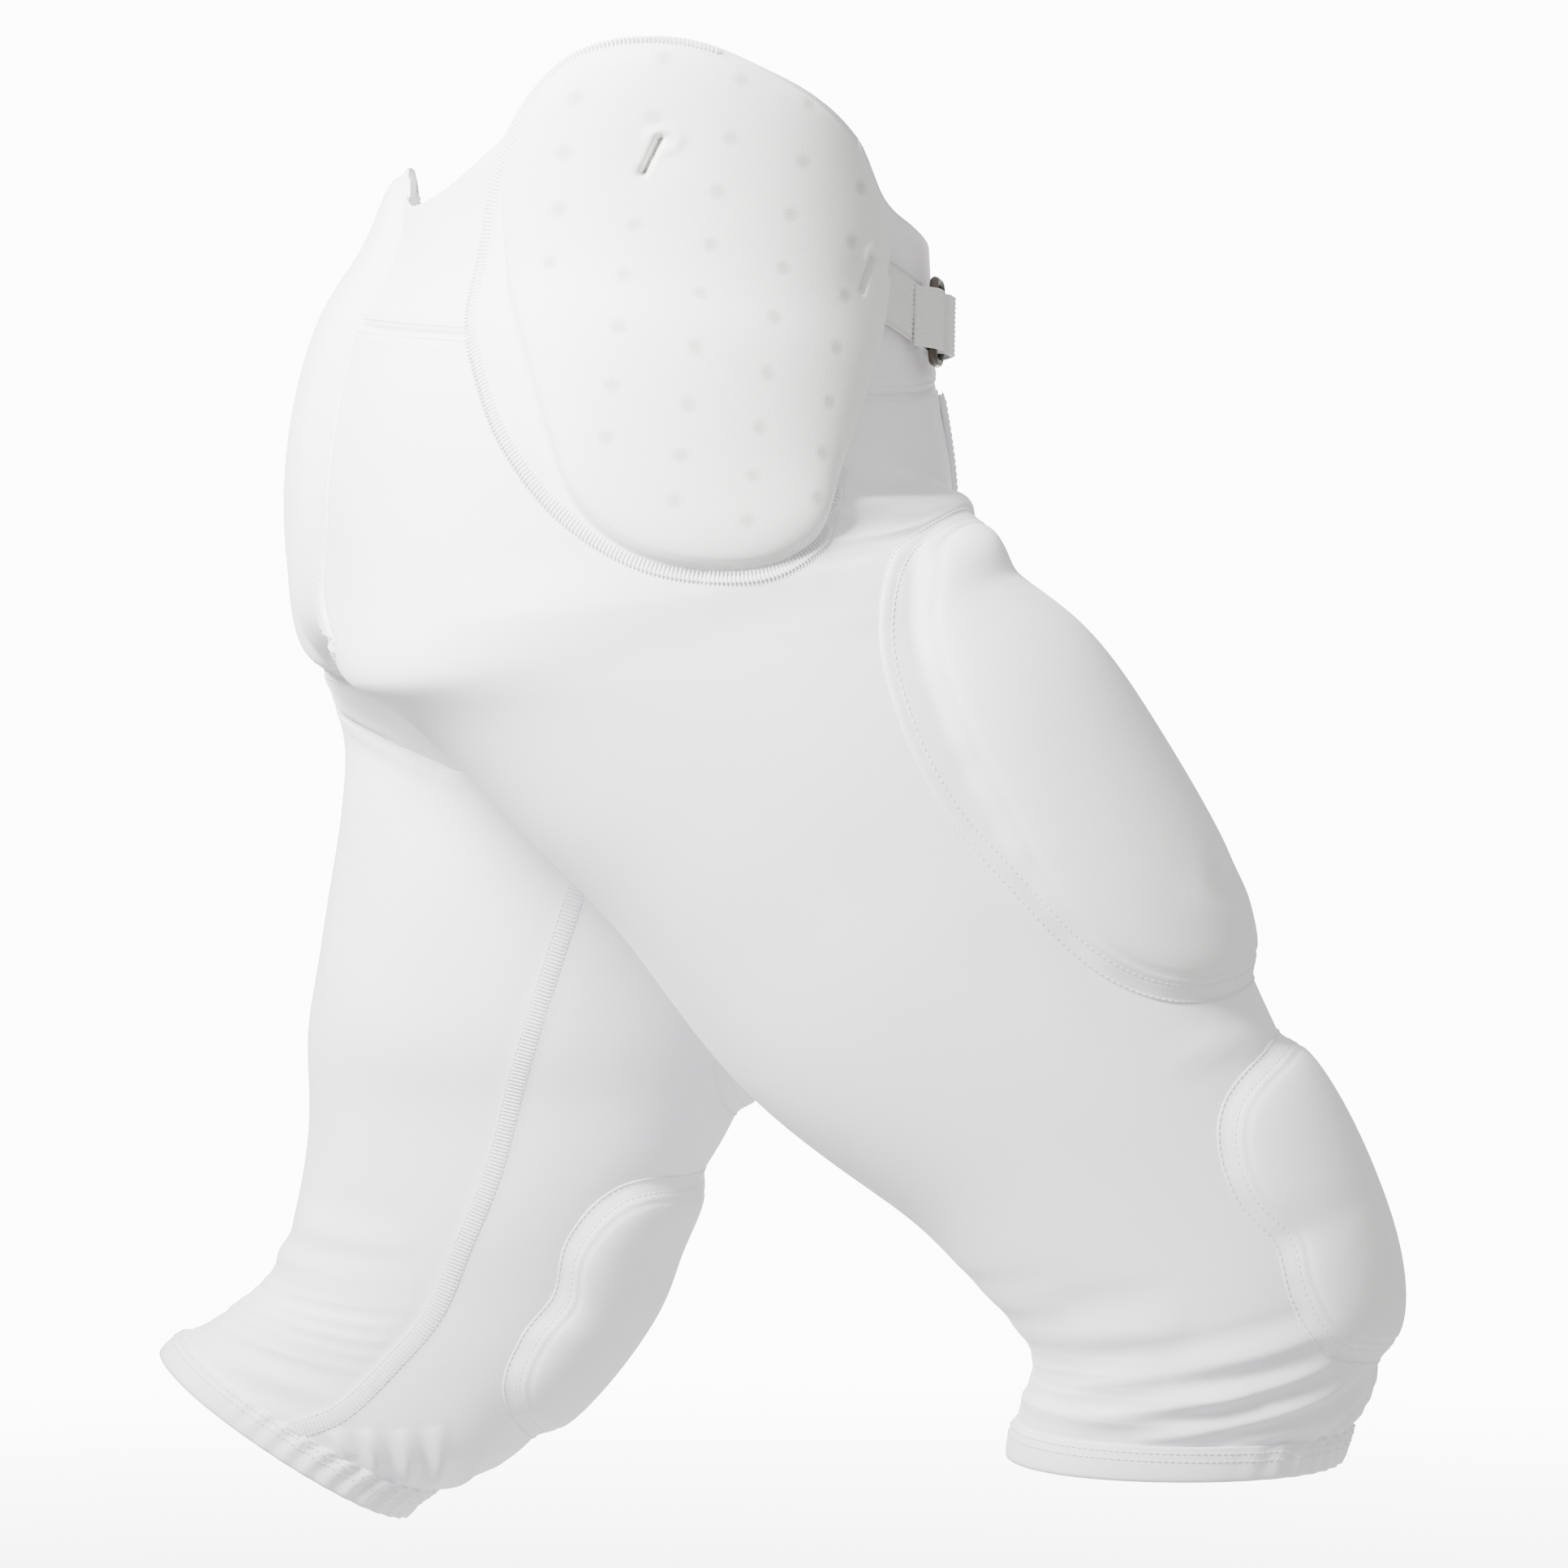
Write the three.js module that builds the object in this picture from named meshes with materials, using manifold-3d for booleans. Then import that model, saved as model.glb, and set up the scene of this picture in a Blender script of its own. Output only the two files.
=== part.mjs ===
// Integrated football pants: a stretch knit garment with sewn-in hip, tail, thigh and knee pads and a short
// webbing belt, in the form that it takes when worn in a lunge. Millimetres, +Z up, +X to the wearer's front,
// +Y to the wearer's left. The origin is the centre of the waist opening.
import * as THREE from "three";
import Module from "manifold-3d";

const wasm = await Module();
wasm.setup();

// Driving dimensions of the garment
const STRIDE = 390; // centre of the front hem to centre of the back hem
const GARMENT_DROP = 582; // waist down to the lowest hem
const TOP_RISE = 110; // waist up to the level that the top edge is cut down from
const WAIST_DEPTH = 226;
const WAIST_WIDTH = 300;
const SEAT_DEPTH = 271;
const HIP_WIDTH = 376;
const THIGH_DEPTH = 234;
const CALF_DEPTH = 144;
const FABRIC = 1.6; // wall of the knit, doubled at the seams
const HEM_FABRIC = 2.6; // wall of the turned and stitched hem
const GAP = 0.3; // between two sewn pieces

// Driving dimensions of the pads, their covers and the belt
const HIP_PAD_LENGTH = 214;
const HIP_PAD_THICKNESS = 11;
const TAIL_PAD_LENGTH = 214;
const TAIL_PAD_WIDTH = 124;
const TAIL_PAD_THICKNESS = 12;
const THIGH_PAD_LENGTH = 214;
const THIGH_PAD_WIDTH = 168;
const THIGH_PAD_THICKNESS = 15;
const KNEE_PAD_LENGTH = 126;
const KNEE_PAD_THICKNESS = 13;
const PAD_EDGE = 5.6; // height of a pad's top at its rim over the fabric's middle
const COVER_CLOTH = 1;
const POCKET_BORDER = 8; // stitched border of a thigh or knee pocket
const COVER_BORDER = 3; // border of the hip and tail covers
const SLOT_LENGTH = 15; // belt slot in a hip pad
const SLOT_WIDTH = 3;
const WEBBING_WIDTH = 25.4;
const WEBBING = 1.6;
const RING_WIRE = 4; // D-ring rod
const RING_DEPTH = 18; // ring's straight bar to its curved side, between rod centres
const RING_HALF = 17; // half the ring's height between rod centres
const FLY_WIDTH = 26;
const FLY_LENGTH = 62;

const SIZES = {
  waist: { depth: WAIST_DEPTH, width: WAIST_WIDTH },
  seat: { depth: SEAT_DEPTH, width: HIP_WIDTH },
  thigh: { depth: THIGH_DEPTH, width: HIP_WIDTH },
  calf: { depth: CALF_DEPTH, width: HIP_WIDTH },
};

// Sections of the garment. forward is a share of STRIDE, drop of GARMENT_DROP, tilt in degrees, depth and the
// outer and inner widths are shares of the row's size, split says how far the section is a leg of its own,
// wrap is how far round the inside its outer columns reach, in degrees, fullness squares its corners, and dip
// lowers its inner side towards the crotch, as a share of GARMENT_DROP.
const COLUMNS = [
  "row", "size", "forward", "drop", "tilt", "depth", "outer", "inner", "split", "wrap", "fullness", "dip",
];
const HIP_SECTIONS = table(COLUMNS, [
  ["top", "waist", 0.005, -TOP_RISE / GARMENT_DROP, -4.4, 0.92, 1.02, 0, 0, 0, 2.25, 0],
  ["waist", "waist", -0.001, 0.006, -4.3, 1, 1, 0, 0, 0, 2.15, 0],
  ["high", "seat", -0.027, 0.079, -3.2, 0.913, 0.867, 0, 0, 0, 2.1, 0],
  ["mid", "seat", -0.037, 0.162, -1.3, 0.994, 0.936, 0, 0, 0, 2.08, 0],
]);
const RISE_SECTIONS = table(COLUMNS, [
  ["low", "seat", -0.042, 0.247, 0, 0.993, 0, 0, 0, 0, 2, 0],
  ["under", "seat", -0.058, 0.326, 0.8, 0.845, 0, 0, 0, 0, 2, 0],
  ["crotch", "seat", -0.064, 0.388, 0, 0.435, 0, 0, 0, 0, 2, 0],
]);
const LEG_SECTIONS = {
  right: table(COLUMNS, [
    ["low", "seat", -0.029, 0.22, 5, 1.026, 0.979, 0, 0.15, 10, 2.08, 0],
    ["under", "seat", -0.026, 0.252, 9, 1.016, 0.995, 0, 0.45, 30, 2.08, 0],
    ["crotch", "seat", -0.001, 0.281, 11.6, 0.976, 1, 0, 1, 58, 2.1, 0.06],
    ["thigh1", "thigh", 0.049, 0.31, 13, 1.043, 1, 0.021, 1, 50, 2.1, 0.11],
    ["thigh2", "thigh", 0.14, 0.371, 19, 1, 0.995, 0.043, 1, 42, 2.1, 0.08],
    ["thigh3", "thigh", 0.235, 0.448, 21.1, 0.949, 0.979, 0.074, 1, 38, 2.1, 0.045],
    ["thigh4", "thigh", 0.337, 0.545, 25.5, 0.894, 0.952, 0.128, 1, 36, 2.1, 0.015],
    ["thigh5", "thigh", 0.44, 0.621, 31.1, 0.754, 0.926, 0.181, 1, 36, 2.1, 0],
    ["knee1", "calf", 0.501, 0.681, 26.1, 1.122, 0.91, 0.223, 1, 36, 2.1, 0],
    ["knee2", "calf", 0.556, 0.74, 18.3, 1.039, 0.904, 0.25, 1, 36, 2.1, 0],
    ["calf1", "calf", 0.585, 0.79, 9.6, 1, 0.899, 0.266, 1, 36, 2.1, 0],
    ["calf2", "calf", 0.579, 0.827, 3.6, 1, 0.894, 0.266, 1, 36, 2.1, 0],
    ["hem0", "calf", 0.558, 0.859, 0, 0.965, 0.883, 0.277, 1, 36, 2.1, 0],
    ["hem1", "calf", 0.549, 0.883, 0, 0.958, 0.883, 0.277, 1, 36, 2.1, 0],
  ]),
  left: table(COLUMNS, [
    ["low", "seat", -0.046, 0.252, 0.2, 1.026, 0.979, 0, 0.15, 10, 2.08, 0],
    ["under", "seat", -0.051, 0.318, 0.9, 0.989, 0.995, 0, 0.45, 30, 2.08, 0],
    ["crotch", "seat", -0.056, 0.367, 1.1, 0.93, 1, 0, 1, 58, 2.1, 0],
    ["thigh1", "thigh", -0.067, 0.41, 0.7, 1.009, 1, 0.021, 1, 50, 2.1, 0.02],
    ["thigh2", "thigh", -0.096, 0.493, 1.5, 0.97, 0.989, 0.053, 1, 42, 2.1, 0.015],
    ["thigh3", "thigh", -0.142, 0.595, 0.5, 0.902, 0.968, 0.106, 1, 38, 2.1, 0.01],
    ["thigh4", "thigh", -0.165, 0.659, -0.9, 0.842, 0.947, 0.16, 1, 36, 2.1, 0],
    ["thigh5", "thigh", -0.19, 0.718, -1.9, 0.77, 0.931, 0.197, 1, 36, 2.1, 0],
    ["knee1", "calf", -0.227, 0.777, -1.7, 1.146, 0.915, 0.229, 1, 36, 2.1, 0],
    ["knee2", "calf", -0.258, 0.826, -1.7, 1.146, 0.91, 0.255, 1, 36, 2.1, 0],
    ["calf1", "calf", -0.31, 0.868, -12.6, 1.082, 0.899, 0.266, 1, 36, 2.1, 0],
    ["calf2", "calf", -0.367, 0.905, -23.1, 1.042, 0.894, 0.271, 1, 36, 2.1, 0],
    ["hem0", "calf", -0.422, 0.92, -31.4, 0.92, 0.883, 0.277, 1, 36, 2.1, 0],
    ["hem1", "calf", -0.451, 0.937, -33.6, 0.917, 0.883, 0.277, 1, 36, 2.1, 0],
  ]),
};

const CROTCH = 6; // number of the crotch section, counted from the top
const HEM_TOP = 16;
const HEM_END = 17;
const BACK = 8; // columns from the front centre round one hip to the back centre
const ROUND = 12; // columns round a leg
const CROTCH_DIP = 6; // sag of the seam between the legs
const LEVELS = 3; // times that the cage is smoothed
const FINE = 2 ** LEVELS;
const SIDES = { right: -1, left: 1 };

// Turns rows of values into records with the column names.
function table(columns, rows) {
  return rows.map((values) => Object.fromEntries(columns.map((name, i) => [name, values[i]])));
}

// A curve through table rows [x, y], x rising; with a period it closes on itself.
function curveThrough(rows, period = 0) {
  const count = rows.length;
  const row = (i) => {
    if (!period) return rows[Math.min(Math.max(i, 0), count - 1)];
    const turns = Math.floor(i / count);
    return [rows[i - turns * count][0] + turns * period, rows[i - turns * count][1]];
  };
  const slope = (i) => (row(i + 1)[1] - row(i - 1)[1]) / (row(i + 1)[0] - row(i - 1)[0]);
  return (x) => {
    const at = period ? x - Math.floor((x - rows[0][0]) / period) * period : x;
    let i = 0;
    while (i < count - (period ? 1 : 2) && row(i + 1)[0] <= at) i += 1;
    const [x0, y0] = row(i);
    const [x1, y1] = row(i + 1);
    const t = Math.min(Math.max((at - x0) / (x1 - x0), 0), 1);
    const bend0 = slope(i) * (x1 - x0);
    const bend1 = slope(i + 1) * (x1 - x0);
    return (
      y0 * (1 - t) ** 2 * (1 + 2 * t) + y1 * t ** 2 * (3 - 2 * t) + bend0 * t * (1 - t) ** 2 - bend1 * t ** 2 * (1 - t)
    );
  };
}

const signedPower = (value, power) => Math.sign(value) * Math.abs(value) ** power;

// A point of a section, angle 0 at the front and 180 degrees at the back of the outer side.
function sectionPoint(section, side, angle) {
  const { depth, width } = SIZES[section.size];
  const tilt = THREE.MathUtils.degToRad(section.tilt);
  const power = 2 / section.fullness;
  const along = (depth / 2) * section.depth * signedPower(Math.cos(angle), power);
  const outer = (width / 2) * section.outer;
  const inner = (width / 2) * section.inner;
  const middle = section.split * (outer + inner) / 2;
  const half = Math.sin(angle) > 0 ? outer - middle : middle - inner;
  const out = Math.max(middle + half * signedPower(Math.sin(angle), power), 0);
  const dip = section.dip * GARMENT_DROP * Math.max(-Math.sin(angle), 0) ** 1.5;
  return new THREE.Vector3(
    section.forward * STRIDE + along * Math.cos(tilt),
    SIDES[side] * out,
    -section.drop * GARMENT_DROP + along * Math.sin(tilt) - dip,
  );
}

// The cage: a coarse net of four-sided faces over both hips and legs, which share the front and back centre
// lines and the line between the legs. Each face keeps the side, column and row of its corners.
function buildCage() {
  const points = [];
  const faces = [];
  const index = new Map();
  const add = (key, point) => {
    if (!index.has(key)) index.set(key, points.push(point) - 1);
    return index.get(key);
  };
  const rise = [...HIP_SECTIONS, ...RISE_SECTIONS];
  const centre = (section, angle) => {
    const point = sectionPoint(section, "left", angle);
    return point.setY(0);
  };
  for (const side of Object.keys(SIDES)) {
    const sections = [...HIP_SECTIONS, ...LEG_SECTIONS[side]];
    const grid = sections.map((section, row) => {
      const wrap = THREE.MathUtils.degToRad(section.wrap);
      const outer = (column) => -wrap + ((Math.PI + 2 * wrap) * column) / BACK;
      const inner = (column) => Math.PI + wrap + ((Math.PI - 2 * wrap) * (column - BACK)) / (ROUND - BACK);
      const line = [];
      for (let column = 0; column < (row < CROTCH ? BACK + 1 : ROUND); column += 1) {
        const onLine = column === 0 || column === BACK;
        if (row <= CROTCH && onLine)
          line.push(add(`${column} ${row}`, centre(rise[row], column ? Math.PI : 0)));
        else if (row === CROTCH && column > BACK) {
          const share = (column - BACK) / (ROUND - BACK);
          const point = centre(rise[row], Math.PI).lerp(centre(rise[row], 0), share);
          point.z -= CROTCH_DIP * Math.sin(Math.PI * share);
          line.push(add(`${column} ${row}`, point));
        } else {
          const angle = column > BACK ? inner(column) : outer(column);
          line.push(add(`${side} ${column} ${row}`, sectionPoint(section, side, angle)));
        }
      }
      return line;
    });
    for (let row = 0; row < grid.length - 1; row += 1)
      for (let column = 0; column < (row < CROTCH ? BACK : ROUND); column += 1) {
        const corners = [[0, 0], [1, 0], [1, 1], [0, 1]].map(([a, b]) => ({
          at: [column + a, row + b],
          point: grid[row + b][(column + a) % (row + b < CROTCH ? BACK + 1 : ROUND)],
        }));
        faces.push({ side, corners: side === "right" ? corners : corners.reverse() });
      }
  }
  return { points, faces };
}

// One round of smoothing by the rule of Catmull and Clark, with open edges kept as curves.
function smooth({ points, faces }) {
  const edges = new Map();
  const edgeOf = (a, b) => {
    const key = a < b ? a * points.length + b : b * points.length + a;
    if (!edges.has(key)) edges.set(key, { ends: [a, b], centres: [], index: 0 });
    return edges.get(key);
  };
  const around = points.map(() => ({ faces: new THREE.Vector3(), count: 0, edges: [] }));
  const centres = faces.map((face) => {
    const centre = new THREE.Vector3();
    for (const corner of face.corners) centre.addScaledVector(points[corner.point], 1 / 4);
    face.corners.forEach((corner, i) => {
      edgeOf(corner.point, face.corners[(i + 1) % 4].point).centres.push(centre);
      around[corner.point].faces.add(centre);
      around[corner.point].count += 1;
    });
    return centre;
  });
  for (const edge of edges.values()) {
    edge.middle = points[edge.ends[0]].clone().lerp(points[edge.ends[1]], 0.5);
    edge.ends.forEach((end) => around[end].edges.push(edge));
  }
  const moved = points.map((point, i) => {
    const { faces: sum, count, edges: near } = around[i];
    const open = near.filter((edge) => edge.centres.length === 1);
    const result = new THREE.Vector3();
    if (open.length) {
      for (const edge of open) result.addScaledVector(edge.middle, 1 / 4);
      return result.addScaledVector(point, 1 / 2);
    }
    const valence = near.length;
    for (const edge of near) result.addScaledVector(edge.middle, 2 / valence ** 2);
    return result.addScaledVector(sum, 1 / (count * valence)).addScaledVector(point, (valence - 3) / valence);
  });
  for (const edge of edges.values()) {
    const point = edge.middle.clone();
    if (edge.centres.length === 2) {
      point.multiplyScalar(0.5);
      for (const centre of edge.centres) point.addScaledVector(centre, 0.25);
    }
    edge.index = moved.push(point) - 1;
  }
  const halfway = (a, b) => [(a[0] + b[0]) / 2, (a[1] + b[1]) / 2];
  const parts = faces.flatMap(({ side, corners }, f) => {
    const middle = moved.push(centres[f]) - 1;
    const middleAt = halfway(corners[0].at, corners[2].at);
    const sides = corners.map((corner, i) => {
      const next = corners[(i + 1) % 4];
      return { at: halfway(corner.at, next.at), point: edgeOf(corner.point, next.point).index };
    });
    return corners.map((corner, i) => ({
      side,
      corners: [corner, sides[i], { at: middleAt, point: middle }, sides[(i + 3) % 4]],
    }));
  });
  return { points: moved, faces: parts };
}

function smoothFully(net) {
  let result = net;
  for (let level = 0; level < LEVELS; level += 1) result = smooth(result);
  return result;
}

// The net whose smoothed form runs through the section points, and its fine points by side, row and column.
function buildSurface() {
  const cage = buildCage();
  const targets = cage.points.map((point) => point.clone());
  const rounds = 6;
  for (let round = 0; round < rounds; round += 1) {
    const fine = smoothFully(cage);
    cage.points.forEach((point, i) => point.add(targets[i].clone().sub(fine.points[i]).multiplyScalar(0.9)));
  }
  const { points, faces } = smoothFully(cage);
  const normals = points.map(() => new THREE.Vector3());
  const fine = { right: [], left: [] };
  for (const { side, corners } of faces) {
    const [a, b, c, d] = corners.map((corner) => points[corner.point]);
    const facing = c.clone().sub(a).cross(d.clone().sub(b));
    for (const { at, point } of corners) {
      normals[point].add(facing);
      const [column, row] = [Math.round(at[0] * FINE) % (ROUND * FINE), Math.round(at[1] * FINE)];
      fine[side][row] ??= [];
      fine[side][row][column] = point;
    }
  }
  normals.forEach((normal) => normal.normalize());
  return { points, normals, fine };
}

const SURFACE = buildSurface();

// The garment's middle surface at a column and row of one side. Above the crotch a column below 0 or past the
// back centre goes on round the other side, below it the columns close round the leg.
function surfaceAt(side, column, row) {
  if (row < CROTCH && (column < 0 || column > BACK)) {
    const other = side === "right" ? "left" : "right";
    return surfaceAt(other, column < 0 ? -column : 2 * BACK - column, row);
  }
  const x = (column - Math.floor(column / ROUND) * ROUND) * FINE;
  const y = Math.min(Math.max(row, 0), HEM_END) * FINE;
  const [x0, y0] = [Math.floor(x), Math.min(Math.floor(y), HEM_END * FINE - 1)];
  const point = new THREE.Vector3();
  const normal = new THREE.Vector3();
  for (const [dx, dy] of [[0, 0], [1, 0], [0, 1], [1, 1]]) {
    const weight = (dx ? x - x0 : 1 - x + x0) * (dy ? y - y0 : 1 - y + y0);
    if (weight <= 0) continue;
    const i = SURFACE.fine[side][y0 + dy][(x0 + dx) % (ROUND * FINE)];
    point.addScaledVector(SURFACE.points[i], weight);
    normal.addScaledVector(SURFACE.normals[i], weight);
  }
  return { point, normal: normal.normalize() };
}

// Folds pulled into the worn fabric: where each starts and ends, its width and its height over the smooth form
// as shares of CALF_DEPTH.
const FOLDS = table(["side", "column0", "row0", "column1", "row1", "width", "height"], [
  ["right", 7.2, 13.5, 4.4, 13.6, 0.1, 0.022],
  ["right", 7.6, 14.4, 4.4, 14.9, 0.1, 0.025],
  ["right", 7.2, 15.1, 4.9, 15.4, 0.08, 0.015],
  ["right", 5.2, 15.4, 2.9, 14.3, 0.09, 0.022],
  ["right", 4.2, 15.8, 2.4, 14.8, 0.08, 0.02],
  ["right", 2.4, 15.9, 1.7, 15, 0.07, 0.018],
  ["right", 1, 15.9, 0.8, 15, 0.07, 0.018],
  ["right", -0.4, 15.9, 0, 15, 0.07, 0.018],
  ["right", 3.4, 4.8, 1.2, 5.5, 0.12, 0.02],
  ["right", 2.3, 3.6, 1.2, 4.8, 0.1, 0.016],
  ["left", 6.4, 12.9, 9.8, 12.9, 0.11, 0.022],
  ["left", 6.2, 13.5, 9.8, 13.4, 0.1, 0.025],
  ["left", 6.6, 14.1, 9.8, 13.9, 0.1, 0.022],
  ["left", 11.8, 15.9, 10.6, 14.9, 0.08, 0.018],
  ["left", 11, 15.9, 10.2, 15.2, 0.08, 0.018],
  ["left", 1.6, 15.9, 1.2, 15, 0.07, 0.018],
  ["left", 3.4, 4.8, 1.2, 5.4, 0.12, 0.012],
]);
const FOLD_POINTS = 7;
for (const fold of FOLDS) {
  fold.line = Array.from({ length: FOLD_POINTS }, (_, i) => {
    const share = i / (FOLD_POINTS - 1);
    const column = THREE.MathUtils.lerp(fold.column0, fold.column1, share);
    return surfaceAt(fold.side, column, THREE.MathUtils.lerp(fold.row0, fold.row1, share)).point;
  });
}

// Height of the folds at a point of one side.
function foldLift(side, point) {
  let lift = 0;
  for (const fold of FOLDS) {
    const width = fold.width * CALF_DEPTH;
    if (fold.side !== side) continue;
    for (let i = 1; i < FOLD_POINTS; i += 1) {
      const stretch = new THREE.Line3(fold.line[i - 1], fold.line[i]);
      const along = stretch.closestPointToPointParameter(point, true);
      const distance = stretch.at(along, new THREE.Vector3()).distanceTo(point);
      if (distance >= width) continue;
      const share = (i - 1 + along) / (FOLD_POINTS - 1);
      const height = fold.height * CALF_DEPTH * Math.sqrt(Math.sin(Math.PI * share));
      lift = Math.max(lift, height * Math.cos(((distance / width) * Math.PI) / 2) ** 2);
    }
  }
  return lift;
}

function foldedAt(side, column, row) {
  const { point, normal } = surfaceAt(side, column, row);
  return { point: point.addScaledVector(normal, foldLift(side, point)), normal };
}

function solidFrom(points, triangles) {
  const vertProperties = Float32Array.from(points.flatMap((point) => point.toArray()));
  return new wasm.Manifold(new wasm.Mesh({ numProp: 3, vertProperties, triVerts: Uint32Array.from(triangles.flat()) }));
}

// A closed solid on a patch of surface: its two skins lie at the heights low and high over each vertex, and its
// open edges are walled.
function thicken({ vertices, faces }, low, high) {
  const count = vertices.length;
  const height = (value, i) => (typeof value === "number" ? value : value[i]);
  const skin = (value) => vertices.map(({ point, normal }, i) => point.clone().addScaledVector(normal, height(value, i)));
  const top = skin(high);
  const across = (a, b) => vertices[a].point.distanceTo(vertices[b].point);
  const cross = (a, b, c) => top[b].clone().sub(top[a]).cross(top[c].clone().sub(top[a]));
  const facing = faces.reduce((sum, [a, b, c]) => sum + cross(a, b, c).dot(vertices[a].normal), 0);
  const open = new Map();
  const upper = faces.flatMap((corners) => {
    const face = facing > 0 ? corners : [...corners].reverse();
    face.forEach((a, i) => {
      const b = face[(i + 1) % face.length];
      if (!open.delete(`${b} ${a}`)) open.set(`${a} ${b}`, [a, b]);
    });
    if (face.length === 3) return [face];
    const [a, b, c, d] = face;
    return across(a, c) < across(b, d) ? [[a, b, c], [a, c, d]] : [[b, c, d], [b, d, a]];
  });
  const lower = upper.map(([a, b, c]) => [c + count, b + count, a + count]);
  const walls = [...open.values()].flatMap(([a, b]) => [[b, a, a + count], [b, a + count, b + count]]);
  return solidFrom([...top, ...skin(low)], [...upper, ...lower, ...walls]);
}

// The top edge of the garment: how far it rises from the waist towards the top level, by column.
const edgeRise = curveThrough([
  [0, 0], [1, 0.13], [1.6, 0.24], [2, 0.46], [2.8, 0.62], [4.4, 0.68], [5.4, 0.4], [6.4, 0.12], [7, 0.04],
  [7.4, 0.08], [7.7, 0.2], [8, 0.22],
]);
const edgeRow = (column) => 1 - edgeRise(Math.abs(column) > BACK ? 2 * BACK - Math.abs(column) : Math.abs(column));

const HEM_SPACES = 56; // round a hem band
const HEM_GAP = 0.03; // rows between a leg and its hem band
const GATHERS = { from: -1.6, to: 3.6, count: 11, height: 0.7 };

// The belt's middle, row by column from the centre front, and the heights over the fabric's middle
const beltRow = curveThrough([[0, 1.75], [0.75, 1.62], [1.7, 1.3], [2.4, 1.12]]);
const RING_COLUMN = 0.75;
const RING_HEIGHT = 7.4;
const RING_PLAY = 0.8; // between the rod and the webbing round it
const BAR_TURN = RING_WIRE / 2 + RING_PLAY + WEBBING / 2; // radius of the webbing's middle round the bar
const CURVE_TURN = BAR_TURN + 0.4; // and round the curved side, which isn't straight
const FRONT_RADIUS = 190; // of the waist at the front
const FRONT_COLUMN_WIDTH = 62;
const FRONT_ROW_HEIGHT = 45;
const FLY_SEAT = 2;

// The tail seam and, below it, the gusset's: its column by row. The lines of the net down the garment are spaced
// from the front centre to this seam and on to the back centre or round the leg.
const seamColumn = curveThrough([
  [0.4, 7.42], [1.2, 7.36], [2, 7.12], [3, 6.95], [4, 6.8], [4.7, 6.55], [5.36, 6.25], [5.7, 6.3], [6, 6.65],
  [6.55, 8], [7.2, 7.75], [8, 7.5], [9, 7.4], [16, 7.4],
]);
const TO_SEAM = 11; // spaces of the net from the front centre to the tail seam
const TAIL_STEPS = 2; // from the tail seam to the back centre
const INNER_STEPS = 7; // from the tail seam's line round the inside of a leg, after the back centre's own
const FRONT_YOKE_STEPS = 3; // half the front yoke
const HIP_STEPS = 8; // from the front centre to the near side of the back yoke
const EDGE_SHARES = [0, 0.35, 0.7]; // lines between the top edge and the yoke seam
const YOKE_ROW = 2.05;
const FRONT_YOKE_ROW = 2.4;
const TAIL_END_ROW = 5.36;
const TAIL_POINT_ROW = 5.02; // of the tail panel's lower end at the back centre
const GUSSET_ROW = 6.55;
const HIP_ROWS = [YOKE_ROW, FRONT_YOKE_ROW, 3, 3.5, 4, 4.5, 4.95, TAIL_END_ROW, CROTCH];
const LEG_ROWS = [GUSSET_ROW, 7.2, 8, 9, 10, 11, 12, 12.6, 13.1, 13.6, 14, 14.4, 14.7, 15, 15.3, 15.6, HEM_TOP];

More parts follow.
